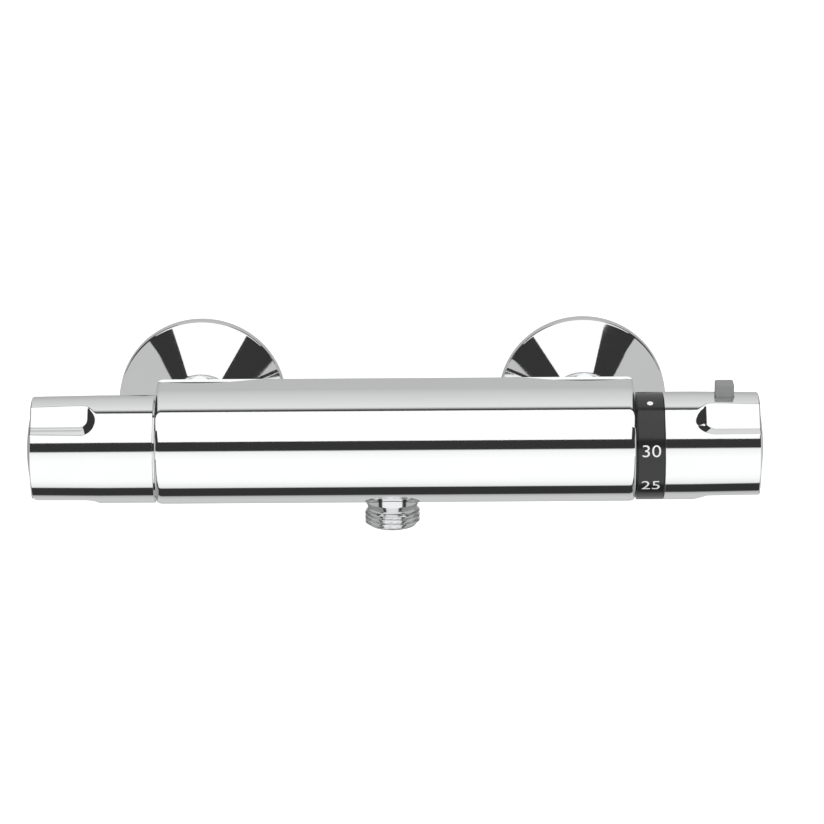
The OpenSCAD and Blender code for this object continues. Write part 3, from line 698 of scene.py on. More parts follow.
    @classmethod
    def carve(cls, piece: Piece, cutter: Piece) -> None:
        """Cuts one piece out of another and removes the cutter.

        Args:
            piece: The piece that is cut.
            cutter: The piece that cuts.
        """
        cls.pick(piece)
        modifier = piece.modifiers.new("carve", "BOOLEAN")
        modifier.operation = "DIFFERENCE"
        modifier.solver = "EXACT"
        modifier.object = cutter
        bpy.ops.object.modifier_apply(modifier=modifier.name)
        bpy.data.objects.remove(cutter)

    @classmethod
    def join(cls, name: str, *pieces: Piece) -> Piece:
        """Joins pieces into one.

        Args:
            name: The joined piece's name.
            pieces: The pieces.

        Returns:
            The joined piece.
        """
        cls.pick(*pieces)
        bpy.ops.object.join()
        return cls.named(bpy.context.object, name)

    @classmethod
    def place(
        cls, piece: Piece, finish: Finish, body: str, *nodes: str, smooth: float = 30.0,
        weighted: bool = False,
    ) -> None:
        """Smooths and dresses a finished piece and puts it on its body in place of CAD nodes.

        Args:
            piece: The piece.
            finish: Its finish.
            body: The CAD body that it rides on.
            nodes: The CAD nodes that it stands for.
            smooth: Edges sharper than this many degrees stay sharp.
            weighted: Whether large faces keep their own normals to their edges.
        """
        cls.pick(piece)
        bpy.ops.object.shade_smooth_by_angle(angle=math.radians(smooth))
        if weighted:
            modifier = piece.modifiers.new("weighted", "WEIGHTED_NORMAL")
            modifier.mode, modifier.keep_sharp, modifier.weight = "FACE_AREA", True, 80
            bpy.ops.object.modifier_apply(modifier=modifier.name)
        cls.clear()
        piece.data.materials.clear()
        piece.data.materials.append(finish.material())
        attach(piece, body)
        if nodes:
            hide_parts(*nodes)
        LOG.info("%s: %d faces on %s", piece.name, len(piece.data.polygons), body)


# Sub-assemblies


def smooth_min(first: np.ndarray, second: np.ndarray, blend: float) -> np.ndarray:
    """Gives the smaller of two heights, with the crease between them rounded."""
    near = np.maximum(blend - np.abs(first - second), 0.0)
    return np.minimum(first, second) - near * near / (4 * blend)


@dataclass
class BarBody:
    """The valve body: a round bar with a level top, rounded ends and hollows at the inlets.

    The level top meets the round front in a brow, an arc tangent to both.
    """

    radius: float = 21.0
    left: float = 89.7
    right: float = 92.3
    back: float = 23.57
    under_flat: float = 20.0
    brow_radius: float = 29.6
    brow_start: float = 117.0
    rear_round: float = 5.8
    back_round: float = 1.2
    end_long: float = 2.4
    end_high: float = 1.0
    boss_radius: float = 13.0
    scoop_front: float = 13.6
    scoop_back: float = 23.0
    scoop_reach: float = 21.94
    scoop_spread: float = 2.18
    scoop_folds: tuple = ((45.0, 19.6, 21.62), (60.5, 18.81, 20.83))
    dish_depth: float = 3.0

    def outline(self, shrink: float) -> np.ndarray:
        """Gives the body's section, drawn in by a distance.

        Args:
            shrink: How far the outline moves inwards.

        Returns:
            Points (behind, above), from the middle of the back over the top and the front and back again.
        """
        radius, back, flat = self.radius - shrink, self.back - shrink, self.under_flat - shrink
        start = math.radians(self.brow_start)
        gap = self.radius - self.brow_radius
        brow = np.array([gap * math.cos(start), gap * math.sin(start)])
        top = brow[1] + self.brow_radius
        rear = np.array([self.back - self.rear_round, top - self.rear_round])
        points = [(back, 0.0), (back, rear[1] * 0.6)]
        points += arc(rear, self.rear_round - shrink, 0, 90, 14)
        points += [((rear[0] + brow[0]) / 2, top - shrink)]
        points += arc(brow, self.brow_radius - shrink, 90, self.brow_start, 22)
        crease = math.degrees(math.atan2(flat, math.sqrt(radius**2 - flat**2)))
        points += arc(np.zeros(2), radius, self.brow_start, 360 - crease, 104)[1:]
        corner = max(self.back_round - shrink, 0.12)
        points += [(back - corner - 0.4, -flat)]
        points += arc(np.array([back - corner, corner - flat]), corner, -90, 0, 8)
        return np.array(points + [(back, 0.0)])

    def stations(self) -> Points:
        """Lists the places along the bar where the outline is laid, with its shrink there.

        Returns:
            Pairs of place and shrink, from left to right.
        """
        turns = [math.radians(90 * k / 12) for k in range(13)]
        ends = [(self.end_high * (1 - math.sin(t)), self.end_long * (1 - math.cos(t))) for t in turns]
        left = [(-self.left + inward, shrink) for shrink, inward in ends]
        right = [(self.right - inward, shrink) for shrink, inward in reversed(ends)]
        inner = self.end_long + 0.3
        return left + [(-self.left + inner, 0.0), (self.right - inner, 0.0)] + right

    def build(self) -> None:
        """Lays the outline along the bar, closes the ends and carves the hollows."""
        rows = []
        for x, shrink in self.stations():
            points = self.outline(shrink) + (AXIS_Y, AXIS_Z)
            rows.append(np.column_stack([np.full(len(points), x), points]))
        for at, x in ((0, -self.left), (-1, self.right)):
            for share in (0.97, 0.0):
                row = (rows[at] - (0.0, AXIS_Y, AXIS_Z)) * share + (0.0, AXIS_Y, AXIS_Z)
                row[:, 0] = x
                rows.insert(0 if at == 0 else len(rows), row)
        piece = Bench.sheet("valve_body", np.array(rows))
        cutters = [self.scoop(), self.dish()]
        cutters += [Bench.copied(cutter, f"{cutter.name}_right", TO_RIGHT) for cutter in cutters]
        for cutter in cutters:
            Bench.carve(piece, cutter)
        Bench.place(Bench.weld(piece), CHROME, "valve_body", "body", smooth=14.0, weighted=True)

    def scoop(self) -> Piece:
        """Makes the cutter of the hollow on top of an inlet: a cone with a folded floor below it.

        Returns:
            The left inlet's cutter.
        """
        front, back, reach = self.scoop_front, self.scoop_back, self.scoop_reach
        corners = profile(
            (front, self.boss_radius, -1), (front, reach, -1),
            (back, reach + self.scoop_spread * (back - front), -1), (back, self.boss_radius, -1),
        )
        cutter = Bench.turned("scoop_cutter", Line.LEFT_INLET, corners)
        Bench.pick(cutter)
        bpy.ops.object.mode_set(mode="EDIT")
        for tilt, behind, above in self.scoop_folds:
            way = (0.0, -math.cos(math.radians(tilt)), math.sin(math.radians(tilt)))
            Bench.split(Vector((0.0, AXIS_Y + behind, AXIS_Z + above)) * MM, way, cut=True)
        return Bench.weld(cutter)

    def dish(self) -> Piece:
        """Makes the cutter of the shallow ring around an inlet's boss.

        Returns:
            The left inlet's cutter.
        """
        floor, over = self.back - self.dish_depth, self.back + 1.0
        corners = profile(
            (floor, self.boss_radius, -1), (floor, self.boss_radius + 1.5, -1),
            (over, self.boss_radius + 6.0, -1), (over, self.boss_radius, -1),
        )
        return Bench.turned("dish_cutter", Line.LEFT_INLET, corners)


@dataclass
class Outlet:
    """The outlet nipple with its helical pipe thread, and above it a black ring that is painted shadow in
    the gap where the nipple meets the body.
    """

    crest: float = 10.4775
    core: float = 9.3775
    pitch: float = 1.814
    thread_start: float = 24.1
    thread_end: float = 29.9
    row_gap: float = 0.09
    tip: float = 30.4
    bore: float = 6.5
    collar: float = 10.4
    shadow_ring_radius: float = 10.75
    shadow_ring_reach: float = 21.1

    def build(self) -> None:
        """Turns the nipple, cuts its thread and lays the black ring of painted shadow at the joint."""
        corners = profile(
            (15.6, self.bore), (15.6, 9.0), (18.2, 9.0), (18.2, self.collar, 0.25),
            (21.0, self.collar, 0.35), (23.6, 9.25, 0.3),
        )
        rows = np.arange(self.thread_start, self.thread_end, self.row_gap)
        corners += [Corner(float(drop), self.core, -1) for drop in rows]
        corners += profile((self.tip, 9.1, 0.25), (self.tip, self.bore, 0.3))
        nipple = Bench.turned("outlet_nipple_threaded", Line.OUTLET, corners)
        Bench.press(nipple, self.thread)
        # The thread's darker tint is painted shade between the ridges.
        Bench.place(nipple, THREAD_CHROME_PAINTED_SHADE, "valve_body", "outlet_nipple", smooth=35.0)
        # Painted shadow: this black ring stands for no real part; it paints the shade in the gap between the
        # nipple and the body.
        ring = profile(
            (17.0, 10.2), (17.0, self.shadow_ring_radius), (22.0, self.shadow_ring_radius, 0.1), (22.0, 10.2),
        )
        shadow_ring = Bench.turned("outlet_painted_shadow_ring", Line.OUTLET, ring)
        Bench.press(shadow_ring, self.saddle)
        Bench.place(shadow_ring, RUBBER, "valve_body")

    def saddle(self, places: np.ndarray) -> np.ndarray:
        """Lays the painted-shadow ring's lower end along the round body, a little proud of it.

        Args:
            places: The vertices of the ring.

        Returns:
            Where they go.
        """
        ahead, drop = places[:, 1] - AXIS_Y, AXIS_Z - places[:, 2]
        low = np.sqrt(self.shadow_ring_reach**2 - ahead**2) + drop - 22.0
        return np.column_stack([places[:, 0], places[:, 1], AXIS_Z - np.where(drop > 20, low, drop)])

    def thread(self, places: np.ndarray) -> np.ndarray:
        """Raises the thread's ridge out of the core along its helix.

        Args:
            places: The vertices of the nipple.

        Returns:
            Where they go.
        """
        side, ahead = places[:, 0], places[:, 1] - AXIS_Y
        start, end = self.thread_start, self.thread_end
        radius = np.hypot(side, ahead)
        drop = AXIS_Z - places[:, 2]
        turn = np.arctan2(ahead, side) / (2 * np.pi)
        phase = np.abs(((drop - start) / self.pitch - turn) % 1.0 - 0.5) * 2
        flank = np.clip((0.82 - phase) / 0.58, 0.0, 1.0)
        fade = np.clip((drop - start) / 1.2, 0, 1) * np.clip((end - drop) / 0.7, 0, 1)
        rise = (self.crest - self.core) * flank * np.minimum(fade * 1.4, 1.0)
        threaded = (drop > start - 0.01) & (drop < end) & (radius > self.bore + 2)
        grow = np.where(threaded, (self.core + rise) / radius, 1.0)
        return np.column_stack([side * grow, AXIS_Y + ahead * grow, places[:, 2]])


@dataclass
class WallConnections:
    """The two inlets' rosettes, nipples, union nuts and offset unions."""

    rosette_rim: float = 32.9
    rosette_throat: float = 13.27
    nipple_bore: float = 7.6
    nut_across: float = 30.0
    nut_start: float = 28.3
    nut_length: float = 12.0
    nut_hole: float = 10.9
    nut_thread: float = 13.2705
    union_front_radius: float = 13.1705
    union_rear_radius: float = 10.4775
    union_end: float = 83.0

    def build(self) -> None:
        """Makes the left pieces, copies each for the right and places both."""
        for left, node, smooth in (
            (self.rosette(), "rosette", 30.0), (self.nipple(), "inlet_nipple", 30.0),
            (self.nut(), "union_nut", 24.0), (self.union(), "offset_union", 30.0),
        ):
            right = Bench.copied(left, left.name.replace("left", "right"), TO_RIGHT)
            Bench.place(left, CHROME, "valve_body", f"{node}_left", smooth=smooth)
            Bench.place(right, CHROME, "valve_body", f"{node}_right", smooth=smooth)

    def rosette(self) -> Piece:
        """Turns the conical cover.

        Returns:
            The left cover.
        """
        rim, throat = self.rosette_rim, self.rosette_throat
        corners = profile(
            (65.0, rim, 0.1), (60.3, rim, 0.9), (48.5, 14.65, 1.1), (48.5, throat, 0.3),
            (51.1, throat, 0.2), (61.5, 31.1, 0.6), (62.1, 31.7, 0.3), (65.0, 31.7, 0.1),
        )
        return Bench.turned("rosette_cover_left", Line.LEFT_INLET, corners, steps=FINE_STEPS)

    def nipple(self) -> Piece:
        """Turns the nipple in the body's back.

        Returns:
            The left nipple.
        """
        bore = self.nipple_bore
        corners = profile(
            (16.3, bore), (16.3, 9.95, 0.3), (23.65, 9.95), (23.65, 12.6, 0.2), (25.25, 12.6, 0.3),
            (25.25, 10.6, 0.3), (31.2, 10.6, 0.3), (31.2, 12.6, 0.2), (33.6, 12.6, 0.2),
            (33.6, bore, 0.2),
        )
        return Bench.turned("inlet_nipple_turned_left", Line.LEFT_INLET, corners)

    def nut(self) -> Piece:
        """Makes the union nut: a hexagon with chamfered corners and a bore.

        Returns:
            The left nut.
        """
        corner, start, length = self.nut_across / math.sqrt(3), self.nut_start, self.nut_length
        middle, over = start + length / 2, start + length + 1
        Bench.clear()
        bpy.ops.mesh.primitive_cylinder_add(
            vertices=6, radius=corner * MM, depth=length * MM,
            location=Line.LEFT_INLET.at(middle, 0.0), rotation=(math.pi / 2, 0, 0),
        )
        piece = Bench.fresh("union_nut_hex_left")
        Bench.edit_all()
        bpy.ops.mesh.bevel(offset=0.35 * MM, segments=3, profile=0.5, affect="EDGES")
        bpy.ops.object.mode_set(mode="OBJECT")
        trim = profile(
            (start - 1, corner - 2.2, -1), (middle, corner + length / 2 - 1.2, -1),
            (over, corner - 2.2, -1), (over, corner + 9, -1), (start - 1, corner + 9, -1),
        )
        Bench.carve(piece, Bench.turned("nut_trim", Line.LEFT_INLET, trim))
        hole = profile(
            (start - 1, 0, -1), (start - 1, self.nut_hole, -1), (start + 2.7, self.nut_hole, -1),
            (start + 2.7, self.nut_thread, -1), (over, self.nut_thread, -1), (over, 0, -1),
        )
        Bench.carve(piece, Bench.turned("nut_hole", Line.LEFT_INLET, hole, closed=False))
        return Bench.weld(piece)

    def union(self) -> Piece:
        """Turns the two offset ends of the union and joins them.

        Returns:
            The left union.
        """
        thick, thin, end = self.union_front_radius, self.union_rear_radius, self.union_end
        front = profile(
            (35.8, 8.0), (35.8, thick, 0.4), (59.5, thick, 0.3), (59.5, 4.0, -1), (58.3, 4.0, -1),
            (58.3, 8.0, -1),
        )
        rear = profile(
            (57.1, 7.0), (56.5, 12.0, 0.2), (64.4, 12.0, 0.2), (64.4, thin), (end, thin, 0.6),
            (end, 7.0, 0.2),
        )
        first = Bench.turned("union_front", Line.LEFT_INLET, front)
        second = Bench.turned("union_rear", Line.LEFT_SUPPLY, rear)
        return Bench.join("offset_union_turned_left", first, second)


@dataclass
class Knob:
    """What both handles share: a tapered grip with finger recesses that run out at its tip, and a cap."""

    line: Line
    sign: float
    start: float
    tip: float
    cap_dome: float
    web: float
    spline_end: float
    hub: float
    base_radius: float = 20.55
    tip_radius: float = 20.2
    cap_radius: float = 16.15
    recess_length: float = 24.9
    floor: float = 17.9
    corner: float = 2.0
    lip: float = 4.0
    end_slope: float = 1.5
    low_slope: float = 1.5
    fillet: float = 0.9
    foot: float = 0.3
    foot_slope: float = 1.8
    first_turn: float = 42.6
    recess_count: int = 3
    rim_blend: float = 0.3
    edge: float = 0.6

    @property
    def rim(self) -> float:
        """Where the recesses start."""
        return self.tip - self.recess_length

    def skin(self) -> list[Corner]:
        """Lists the grip's outside up to its cap seat, with rows close enough to press.

        Returns:
            The corners in order.
        """
        rows = profile((self.start, self.base_radius, 0.2), (self.rim - 1.2, self.base_radius, -1))
        for x in np.arange(self.rim - 0.9, self.tip - self.edge - 0.05, 0.3):
            rows.append(Corner(float(x), float(self.outer(x)), -1))
        middle = np.array([self.tip - self.edge, self.tip_radius - self.edge])
        return rows + [Corner(along, out, -1) for along, out in arc(middle, self.edge, 90, 0, 6)]

    def inside(self) -> list[Corner]:
        """Lists the grip's inside from its cap seat past the splined hub to its web.

        Returns:
            The corners in order.
        """
        seat, deep = self.tip - 2.1, self.web + 3.5
        return profile(
            (self.tip, 16.2, 0.15), (seat, 16.2, 0.1), (seat, 15.3, 0.1), (deep, 15.3, 0.6),
            (deep, 2.0, 0.1), (self.spline_end, 2.0, 0.1), (self.spline_end, 3.96, 0.1),
            (self.hub, 3.96, 0.1), (self.hub, 7.0, 0.2), (self.web, 7.0, 0.3),
        )

    def outer(self, x: Numbers) -> Numbers:
        """Gives the unrounded radius of the grip at a distance along the bar."""
        share = np.clip((x - self.rim) / (self.recess_length - self.edge), 0.0, 1.0)
        return self.base_radius + (self.tip_radius - self.base_radius) * share

    def recess_height(self, x: np.ndarray, across: np.ndarray) -> np.ndarray:
        """Gives the height of a recess above the axis.

        Args:
            x: Distance along the bar.
            across: Distance around the recess from its middle line.

        Returns:
            The height of its floor and of the walls that slope up from it, steeper at their foot.
        """
        deep = self.base_radius - self.floor + (1 - self.foot_slope) * self.foot + self.corner
        aside = (self.rim - x) / self.end_slope + deep
        below = (-self.lip - across) / self.low_slope + deep
        reach = np.where((aside > 0) & (below > 0), np.hypot(aside, below), np.maximum(aside, below))
        lift = reach - self.corner
        lift = np.minimum(self.foot_slope * lift, lift + (self.foot_slope - 1) * self.foot)
        return self.floor + (lift + np.hypot(lift, self.fillet)) / 2

    def grip(self, name: str, base: Sequence[Corner]) -> Piece:
        """Turns one sector of the grip, presses its recess and copies it around.

        Args:
            name: The piece's name.
            base: The corners from the web back to the start.

        Returns:
            The grip.
        """
        corners = self.skin() + self.inside() + list(base)
        sector = Bench.turned(name, self.line, corners, steps=KNOB_STEPS, parts=self.recess_count)
        Bench.press(sector, self.press)
        return Bench.around(sector, self.line, self.recess_count)

    def press(self, places: np.ndarray) -> np.ndarray:
        """Presses the finger recesses into the grip.

        The height of a recess is met by halving, because its walls depend on the radius that is sought.

        Args:
            places: The vertices of the grip.

        Returns:
            Where they go.
        """
        along = places[:, 0] * self.sign
        ahead, above = AXIS_Y - places[:, 1], places[:, 2] - AXIS_Z
        radius = np.hypot(ahead, above)
        turn = np.arctan2(above, ahead)
        skin = (along > self.rim - 1.3) & (radius > self.tip_radius - self.edge - 0.02)
        nominal = self.outer(along)
        cut = nominal.copy()
        for i in range(self.recess_count):
            away = turn - math.radians(self.first_turn + 360 / self.recess_count * i)
            away = (away + np.pi) % (2 * np.pi) - np.pi
            near = skin & (np.abs(away) < math.radians(50))
            low, high = np.full(near.sum(), 12.0), np.full(near.sum(), 30.0)
            for _ in range(36):
                middle = (low + high) / 2
                height = self.recess_height(along[near], middle * np.sin(away[near]))
                inside = middle * np.cos(away[near]) < height
                low, high = np.where(inside, middle, low), np.where(inside, high, middle)
            cut[near] = smooth_min(cut[near], low, self.rim_blend)
        grow = np.where(skin, (cut - (nominal - radius)) / radius, 1.0)
        return np.column_stack([places[:, 0], AXIS_Y - ahead * grow, AXIS_Z + above * grow])

    def cap(self, name: str) -> Piece:
        """Turns the domed cap at the grip's tip.

        Args:
            name: The piece's name.

        Returns:
            The cap.
        """
        radius, dome, tip = self.cap_radius, self.cap_dome, self.tip
        ball = (radius**2 + dome**2) / (2 * dome)
        corners = []
        for out in (radius * k / 24 for k in range(24)):
            corners.append(Corner(tip + dome - ball + math.sqrt(ball**2 - out**2), out, -1))
        corners += profile(
            (tip + 0.02, radius, 0.25), (tip - 2.0, radius, 0.2), (tip - 2.0, 15.25, 0.1),
            (tip - 6.0, 15.25, 0.3), (tip - 6.0, 14.15, 0.1), (tip - 2.0, 14.15, 0.1), (tip - 2.0, 0.0),
        )
        return Bench.turned(name, self.line, corners, closed=False)


@dataclass
class FlowHandle:
    """The left handle, its cap and the bright ring beside it."""

    knob: Knob = field(default_factory=lambda: Knob(
        Line.BAR_LEFT, -1.0, 90.25, 136.8, cap_dome=2.2, web=109.0, spline_end=108.1, hub=99.2,
        recess_length=25.7, lip=5.2, low_slope=2.3,
    ))
    ring_radius: float = 18.2

    def build(self) -> None:
        """Makes the handle, the cap and the bright ring."""
        knob = self.knob
        base = profile(
            (knob.web, 18.0, 0.3), (97.0, 18.0, 0.1), (97.0, 18.6, 0.1), (knob.start, 18.6, 0.2),
        )
        Bench.place(knob.grip("flow_grip", base), HANDLE_CHROME, "flow_handle", "flow_handle", smooth=40.0)
        Bench.place(knob.cap("flow_grip_cap"), HANDLE_CHROME, "flow_handle", "flow_handle_cap")
        ring = profile(
            (89.7, 14.3), (89.7, self.ring_radius), (91.7, self.ring_radius, 0.5), (91.7, 14.3, 0.2),
        )
        bright = Bench.turned("flow_bright_ring", Line.BAR_LEFT, ring)
        Bench.place(bright, CHROME, "valve_body", "flow_trim_ring")


@dataclass
class TemperatureHandle:
    """The right handle, its cap, the scale ring with its marks and the safety button."""

    knob: Knob = field(default_factory=lambda: Knob(
        Line.BAR, 1.0, 103.2, 139.5, cap_dome=1.8, web=112.2, spline_end=111.8, hub=100.5,
        recess_length=25.4, lip=4.8, end_slope=1.95, first_turn=40.1,
    ))
    scale_skirt: float = 92.5
    scale_start: float = 92.9
    scale_radius: float = 20.5
    mark_x: float = 97.85
    mark_size: float = 6.6
    mark_height: float = 0.02
    mark_stretch: tuple = (1.17, 0.99, 1.0)
    numbers: tuple = (("30", 11.1), ("25", -29.9))
    dot_turn: float = 69.0
    dot_radius: float = 1.15
    button_x: float = 126.4
    button_size: tuple = (7.0, 6.8)
    button_foot: float = 14.35
    button_top: float = 25.2
    slot_gap: float = 0.3
    arm_start: float = 99.6
    arm_wide: float = 4.0

    def build(self) -> None:
        """Makes all the pieces of the handle."""
        self.grip()
        cap = self.knob.cap("temperature_grip_cap")
        Bench.place(cap, HANDLE_CHROME, "temperature_handle", "temperature_handle_cap")
        self.scale()
        self.button()

    def grip(self) -> None:
        """Turns the grip with its collar under the scale ring, and cuts the button's slot."""
        knob = self.knob
        behind = knob.start - 0.05
        base = profile(
            (knob.web, 15.3, 0.4), (behind, 15.3, 0.1), (behind, 16.1, 0.1), (93.3, 16.1, 0.2),
            (93.3, 18.25, 0.2), (knob.start, 18.25, 0.1),
        )
        grip = knob.grip("temperature_grip", base)
        wide, long = (size + self.slot_gap for size in self.button_size)
        for name, x, above, size, upright, rim in (
            ("button_slot", self.button_x, 19.0, (wide, long, 12.0), 1.3, 0.1),
            ("arm_way", 114.0, 12.3, (6.0, 4.8, 5.0), 0.3, 0.3),
        ):
            Bench.carve(grip, Bench.block(name, (x, AXIS_Y, AXIS_Z + above), size, upright, rim))
        shelf = Bench.block("spring_shelf", (123.5, AXIS_Y, AXIS_Z + 6.25), (15.8, 9.0, 1.5), 0.4, 0.3)
        grip = Bench.join("temperature_grip", grip, shelf)
        Bench.place(grip, HANDLE_CHROME, "temperature_handle", "temperature_handle", smooth=40.0)

    def scale(self) -> None:
        """Turns the scale ring and lays its marks on it."""
        end, low, skirt = self.knob.start - 0.1, 18.3, 19.6
        corners = profile(
            (self.scale_skirt, low), (self.scale_skirt, skirt, 0.1), (self.scale_start, skirt, 0.1),
            (self.scale_start, self.scale_radius, 0.3), (end, self.scale_radius, 0.3), (end, low),
        )
        ring = Bench.turned("scale_band", Line.BAR, corners, steps=FINE_STEPS)
        Bench.place(ring, SCALE_PLASTIC, "temperature_handle", "scale_ring")
        marks = [self.number(words, turn) for words, turn in self.numbers] + [self.dot()]
        Bench.place(Bench.join("scale_marks", *marks), WHITE_PRINT, "temperature_handle", smooth=20.0)

    def number(self, words: str, turn: float) -> Piece:
        """Prints a number on the ring.

        Args:
            words: The number.
            turn: Its place around the ring, upwards from the front, in degrees.

        Returns:
            The number's mesh, laid on the ring.
        """
        Bench.clear()
        bpy.ops.object.text_add()
        data = bpy.context.object.data
        data.body, data.size, data.resolution_u = words, self.mark_size, 8
        data.align_x = data.align_y = "CENTER"
        data.offset, data.extrude = -0.035, self.mark_height
        bpy.ops.object.convert(target="MESH")
        Bench.edit_all()
        bpy.ops.transform.resize(value=self.mark_stretch)
        return self.lay(bpy.context.object, 3.0, 0.4, turn)

    def dot(self) -> Piece:
        """Prints the round dot on the ring.

        Returns:
            The dot's mesh, laid on the ring.
        """
        Bench.clear()
        bpy.ops.mesh.primitive_circle_add(vertices=40, radius=self.dot_radius, fill_type="NGON")
        Bench.edit_all()
        bpy.ops.mesh.extrude_region_move(TRANSFORM_OT_translate={"value": (0, 0, self.mark_height)})
        return self.lay(bpy.context.object, 0.9, 0.3, self.dot_turn)

    def lay(self, piece: Piece, reach: float, step: float, turn: float) -> Piece:
        """Slices a flat print of unit scale into strips and bends it around the ring.

        Args:
            piece: The print, in edit mode.
            reach: How far up and down it is sliced.
            step: The strips' width.
            turn: Its place around the ring, in degrees.

        Returns:
            The print, in object mode.
        """
        def bend(places: np.ndarray) -> np.ndarray:
            """Bends the vertices around the ring; press hands them over a thousandfold."""
            flat = places * MM
            angle = math.radians(turn) + flat[:, 1] / self.scale_radius
            out = self.scale_radius + 0.03 + flat[:, 2]
            return np.column_stack(
                [self.mark_x + flat[:, 0], AXIS_Y - out * np.cos(angle), AXIS_Z + out * np.sin(angle)]
            )

        for level in np.arange(-reach, reach + 0.01, step):
            Bench.split((0, float(level), 0), (0, 1, 0))
        bpy.ops.object.mode_set(mode="OBJECT")
        Bench.press(piece, bend)
        return Bench.weld(piece)

    def button(self) -> None:
        """Makes the safety button with its foot and the arm that meets the stop."""
        wide, long = self.button_size
        high, thick = self.button_top - self.button_foot, 1.9
        foot_at = self.button_foot - 0.9
        arm_end = self.button_x - wide / 2
        arm_x, arm_long = (self.arm_start + arm_end) / 2, arm_end - self.arm_start
        parts = [
            Bench.block(name, (x, AXIS_Y, AXIS_Z + above), size, upright, rim)
            for name, x, above, size, upright, rim in (
                ("button_post", self.button_x, self.button_foot + high / 2, (wide, long, high), 1.2, 0.7),
                ("button_foot", self.button_x, foot_at, (wide + 2.4, long, thick), 0.3, 0.2),
                ("button_arm", arm_x, foot_at, (arm_long, self.arm_wide, thick), 0.3, 0.2),
            )
        ]
        piece = Bench.join("safety_button_moulded", *parts)
        Bench.place(piece, BUTTON_PLASTIC, "safety_button", "safety_button", smooth=40.0)


class InnerWorks:
    """The CAD nodes that keep their own shape and get a finish."""

    def build(self) -> None:
        """Gives every carried-over node its slot's finish."""
        slots = {part["node"]: part["material_slot"] for part in frame["record"]["subparts"]}
        finishes = {finish.slot: finish for finish in SLOT_FINISHES}
        for name, node in frame["nodes"].items():
            node.data.materials.clear()
            node.data.materials.append(finishes[slots[name]].material())
        LOG.info("inner works: %d nodes dressed", len(frame["nodes"]))


# Studio


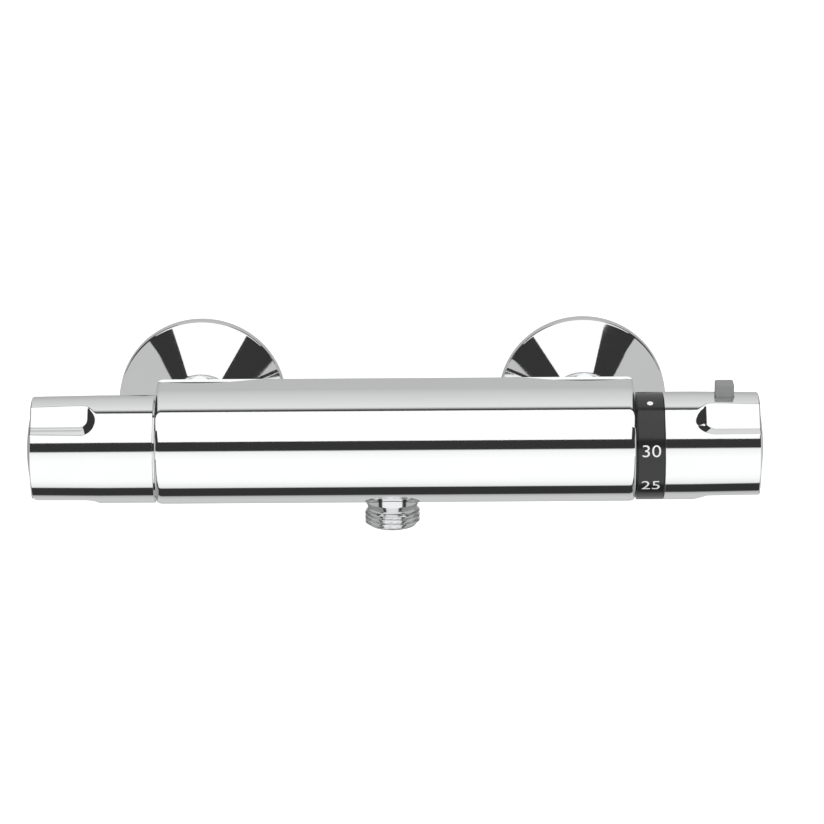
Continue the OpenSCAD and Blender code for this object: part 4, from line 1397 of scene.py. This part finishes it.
@dataclass
class Studio:
    """Camera, floor, lamp, surrounding light and the cards that the plating mirrors.

    The bands are what the plating mirrors around the bar: an angle in degrees, 0 ahead and 90 above, and
    a strength. The flanks take their place low beside the bar, from ahead to behind as 0 to 1, and the
    corners high beside it are dark. A direction's reach beside, above or below the bar goes up to 1.
    """

    camera_at: tuple = (8.42, -1557.9, 473.4)
    look: tuple = (-0.00044, 0.95433, -0.29875)
    roll: float = -0.385
    lens: float = 179.65
    floor_z: float = -330.0
    lamp_at: tuple = (-0.3, -0.75, 1.0)
    lamp_size: tuple = (0.9, 0.7)
    lamp_watts: float = 3.0
    dark: float = 0.035
    bands: tuple = (
        (-180.0, 0.44), (-161.0, 0.46), (-130.0, 0.62), (-112.0, 0.6), (-103.0, 0.48), (-99.5, 0.035),
        (-74.2, 0.035), (-72.7, 0.84), (-66.0, 0.95), (-57.0, 1.05), (-48.0, 1.09), (-8.0, 1.09),
        (5.0, 1.01), (10.8, 0.93), (12.4, 0.035), (98.5, 0.035), (102.5, 0.04), (104.5, 0.12),
        (107.0, 0.45), (110.0, 0.81), (121.0, 0.76), (131.0, 0.7), (143.0, 0.65), (150.0, 0.61),
        (159.0, 0.56), (163.0, 0.52), (180.0, 0.46),
    )
    flanks: tuple = ((0.0, 0.035), (0.34, 0.035), (0.366, 0.3), (0.7, 0.33), (1.0, 0.1))
    flank_beside: float = 0.3
    flank_below: float = 0.12
    flank_from: float = 43 / 180
    corner_beside: float = 0.36
    corner_above: float = 0.24
    overhead_z: float = 320.0
    overhead_edge: tuple = (
        (-270, -605), (215, -605), (215, -270), (400, -250), (400, -22), (-400, -22), (-400, -250),
        (-270, -270),
    )
    overhead_glow: float = 1.1
    side_x: float = 250.0
    side_edge: tuple = (
        (-210, -230), (-210, 90), (-141, 92), (-141, 126), (-122, 126), (-96, 80), (-75, 40), (-60, 8),
        (60, 0), (60, -230),
    )
    side_glow: float = 0.56

    def build(self) -> None:
        """Makes the whole studio."""
        self.camera()
        self.floor()
        self.lamp()
        self.surroundings()
        over = [(x, y, self.overhead_z) for x, y in self.overhead_edge]
        self.card("overhead_card", over, self.overhead_glow)
        for x, name in ((-self.side_x, "left_card"), (self.side_x, "right_card")):
            self.card(name, [(x, y, z) for y, z in self.side_edge], self.side_glow)
        bpy.context.scene.view_settings.view_transform = "Standard"
        LOG.info("studio: camera, floor, lamp and three cards")

    def camera(self) -> None:
        """Sets up the camera of the photograph."""
        data = bpy.data.cameras.new("camera")
        data.lens, data.sensor_width = self.lens, 36.0
        data.clip_start, data.clip_end = 0.1, 20.0
        camera = bpy.data.objects.new("camera", data)
        bpy.context.scene.collection.objects.link(camera)
        ahead = Vector(self.look).normalized()
        right = ahead.cross(Vector((0, 0, 1))).normalized()
        up = right.cross(ahead)
        angle = math.radians(self.roll)
        across = right * math.cos(angle) + up * math.sin(angle)
        over = up * math.cos(angle) - right * math.sin(angle)
        turn = Matrix((across, over, -ahead)).transposed().to_4x4()
        camera.matrix_world = Matrix.Translation(Vector(self.camera_at) * MM) @ turn
        bpy.context.scene.camera = camera

    def floor(self) -> None:
        """Lays a plain pale floor that keeps the object's shadow and shows white to the camera."""
        Bench.clear()
        bpy.ops.mesh.primitive_plane_add(size=12.0, location=(0, 0, self.floor_z * MM))
        floor = bpy.context.object
        floor.name = "floor"
        made = bpy.data.materials.new("pale_floor")
        desk = ShaderDesk(made)
        pale = desk.node("ShaderNodeBsdfDiffuse", None, {"Color": tone(0.9)})
        bright = desk.node("ShaderNodeAddShader", None, {0: pale, 1: desk.glow(0.35)})
        by_camera = desk.out("ShaderNodeLightPath", "Is Camera Ray")
        seen = desk.node("ShaderNodeMixShader", None, {0: by_camera, 1: pale, 2: bright})
        below = desk.out("ShaderNodeNewGeometry", "Backfacing")
        clear = desk.node("ShaderNodeBsdfTransparent")
        desk.end(desk.node("ShaderNodeMixShader", None, {0: below, 1: seen, 2: clear}))
        floor.data.materials.append(made)
        floor.visible_glossy = False

    def lamp(self) -> None:
        """Hangs one soft lamp above the front."""
        data = bpy.data.lights.new("soft_lamp", "AREA")
        data.shape, data.energy = "RECTANGLE", self.lamp_watts
        data.size, data.size_y = self.lamp_size
        lamp = bpy.data.objects.new("soft_lamp", data)
        bpy.context.scene.collection.objects.link(lamp)
        lamp.location = self.lamp_at
        way = Vector((0, AXIS_Y * MM, 0)) - lamp.location
        lamp.rotation_euler = way.to_track_quat("-Z", "Y").to_euler()
        lamp.visible_glossy = False
        lamp.visible_camera = False

    def surroundings(self) -> None:
        """Surrounds the object with even light, a white view and the studio's bands in the plating."""
        world = bpy.data.worlds.new("studio")
        bpy.context.scene.world = world
        desk = ShaderDesk(world)
        way = desk.node("ShaderNodeSeparateXYZ", None, {0: desk.out("ShaderNodeTexCoord", "Generated")})
        aside, behind, above = (Link(desk, way.outputs[axis]) for axis in "XYZ")
        ahead = behind * -1.0
        height = above.angle(ahead) * (1 / (2 * math.pi)) + 0.5
        bands = desk.ramp(height, [((angle + 180) / 360, strength) for angle, strength in self.bands])
        swing = aside.size().angle(ahead) * (1 / math.pi)
        low_flank = aside.size().over(self.flank_beside) * (above * -1.0).over(self.flank_below)
        bands = desk.mix(low_flank * swing.over(self.flank_from), bands, desk.ramp(swing, self.flanks))
        high_corner = aside.size().over(self.corner_beside) * above.over(self.corner_above)
        bands = desk.mix(high_corner, bands, tone(self.dark))
        rays = desk.node("ShaderNodeLightPath")
        mirrored = desk.mix(Link(desk, rays.outputs["Is Glossy Ray"]), tone(0.9), bands)
        seen = desk.mix(Link(desk, rays.outputs["Is Camera Ray"]), mirrored, tone(1.0))
        desk.end(desk.node("ShaderNodeBackground", None, {"Color": seen}), "ShaderNodeOutputWorld")

    def card(self, name: str, corners: Sequence[tuple], strength: float) -> None:
        """Makes one flat card that glows evenly and that only the mirror finish sees.

        Args:
            name: The card's name.
            corners: Its corners in millimetres.
            strength: How bright it is.
        """
        card = Bench.path(name, [Vector(c) * MM for c in corners], True)
        bpy.ops.mesh.edge_face_add()
        bpy.ops.object.mode_set(mode="OBJECT")
        made = bpy.data.materials.new(f"{name}_glow")
        desk = ShaderDesk(made)
        desk.end(desk.glow(strength))
        card.data.materials.append(made)
        card.visible_camera = card.visible_diffuse = card.visible_shadow = card.visible_transmission = False


def main() -> None:
    """Builds every sub-assembly in order."""
    logging.basicConfig(level=logging.INFO, format="%(name)s %(message)s")
    for part in (
        Studio(), InnerWorks(), BarBody(), Outlet(), WallConnections(), FlowHandle(), TemperatureHandle(),
    ):
        part.build()


if __name__ == "__main__":
    main()
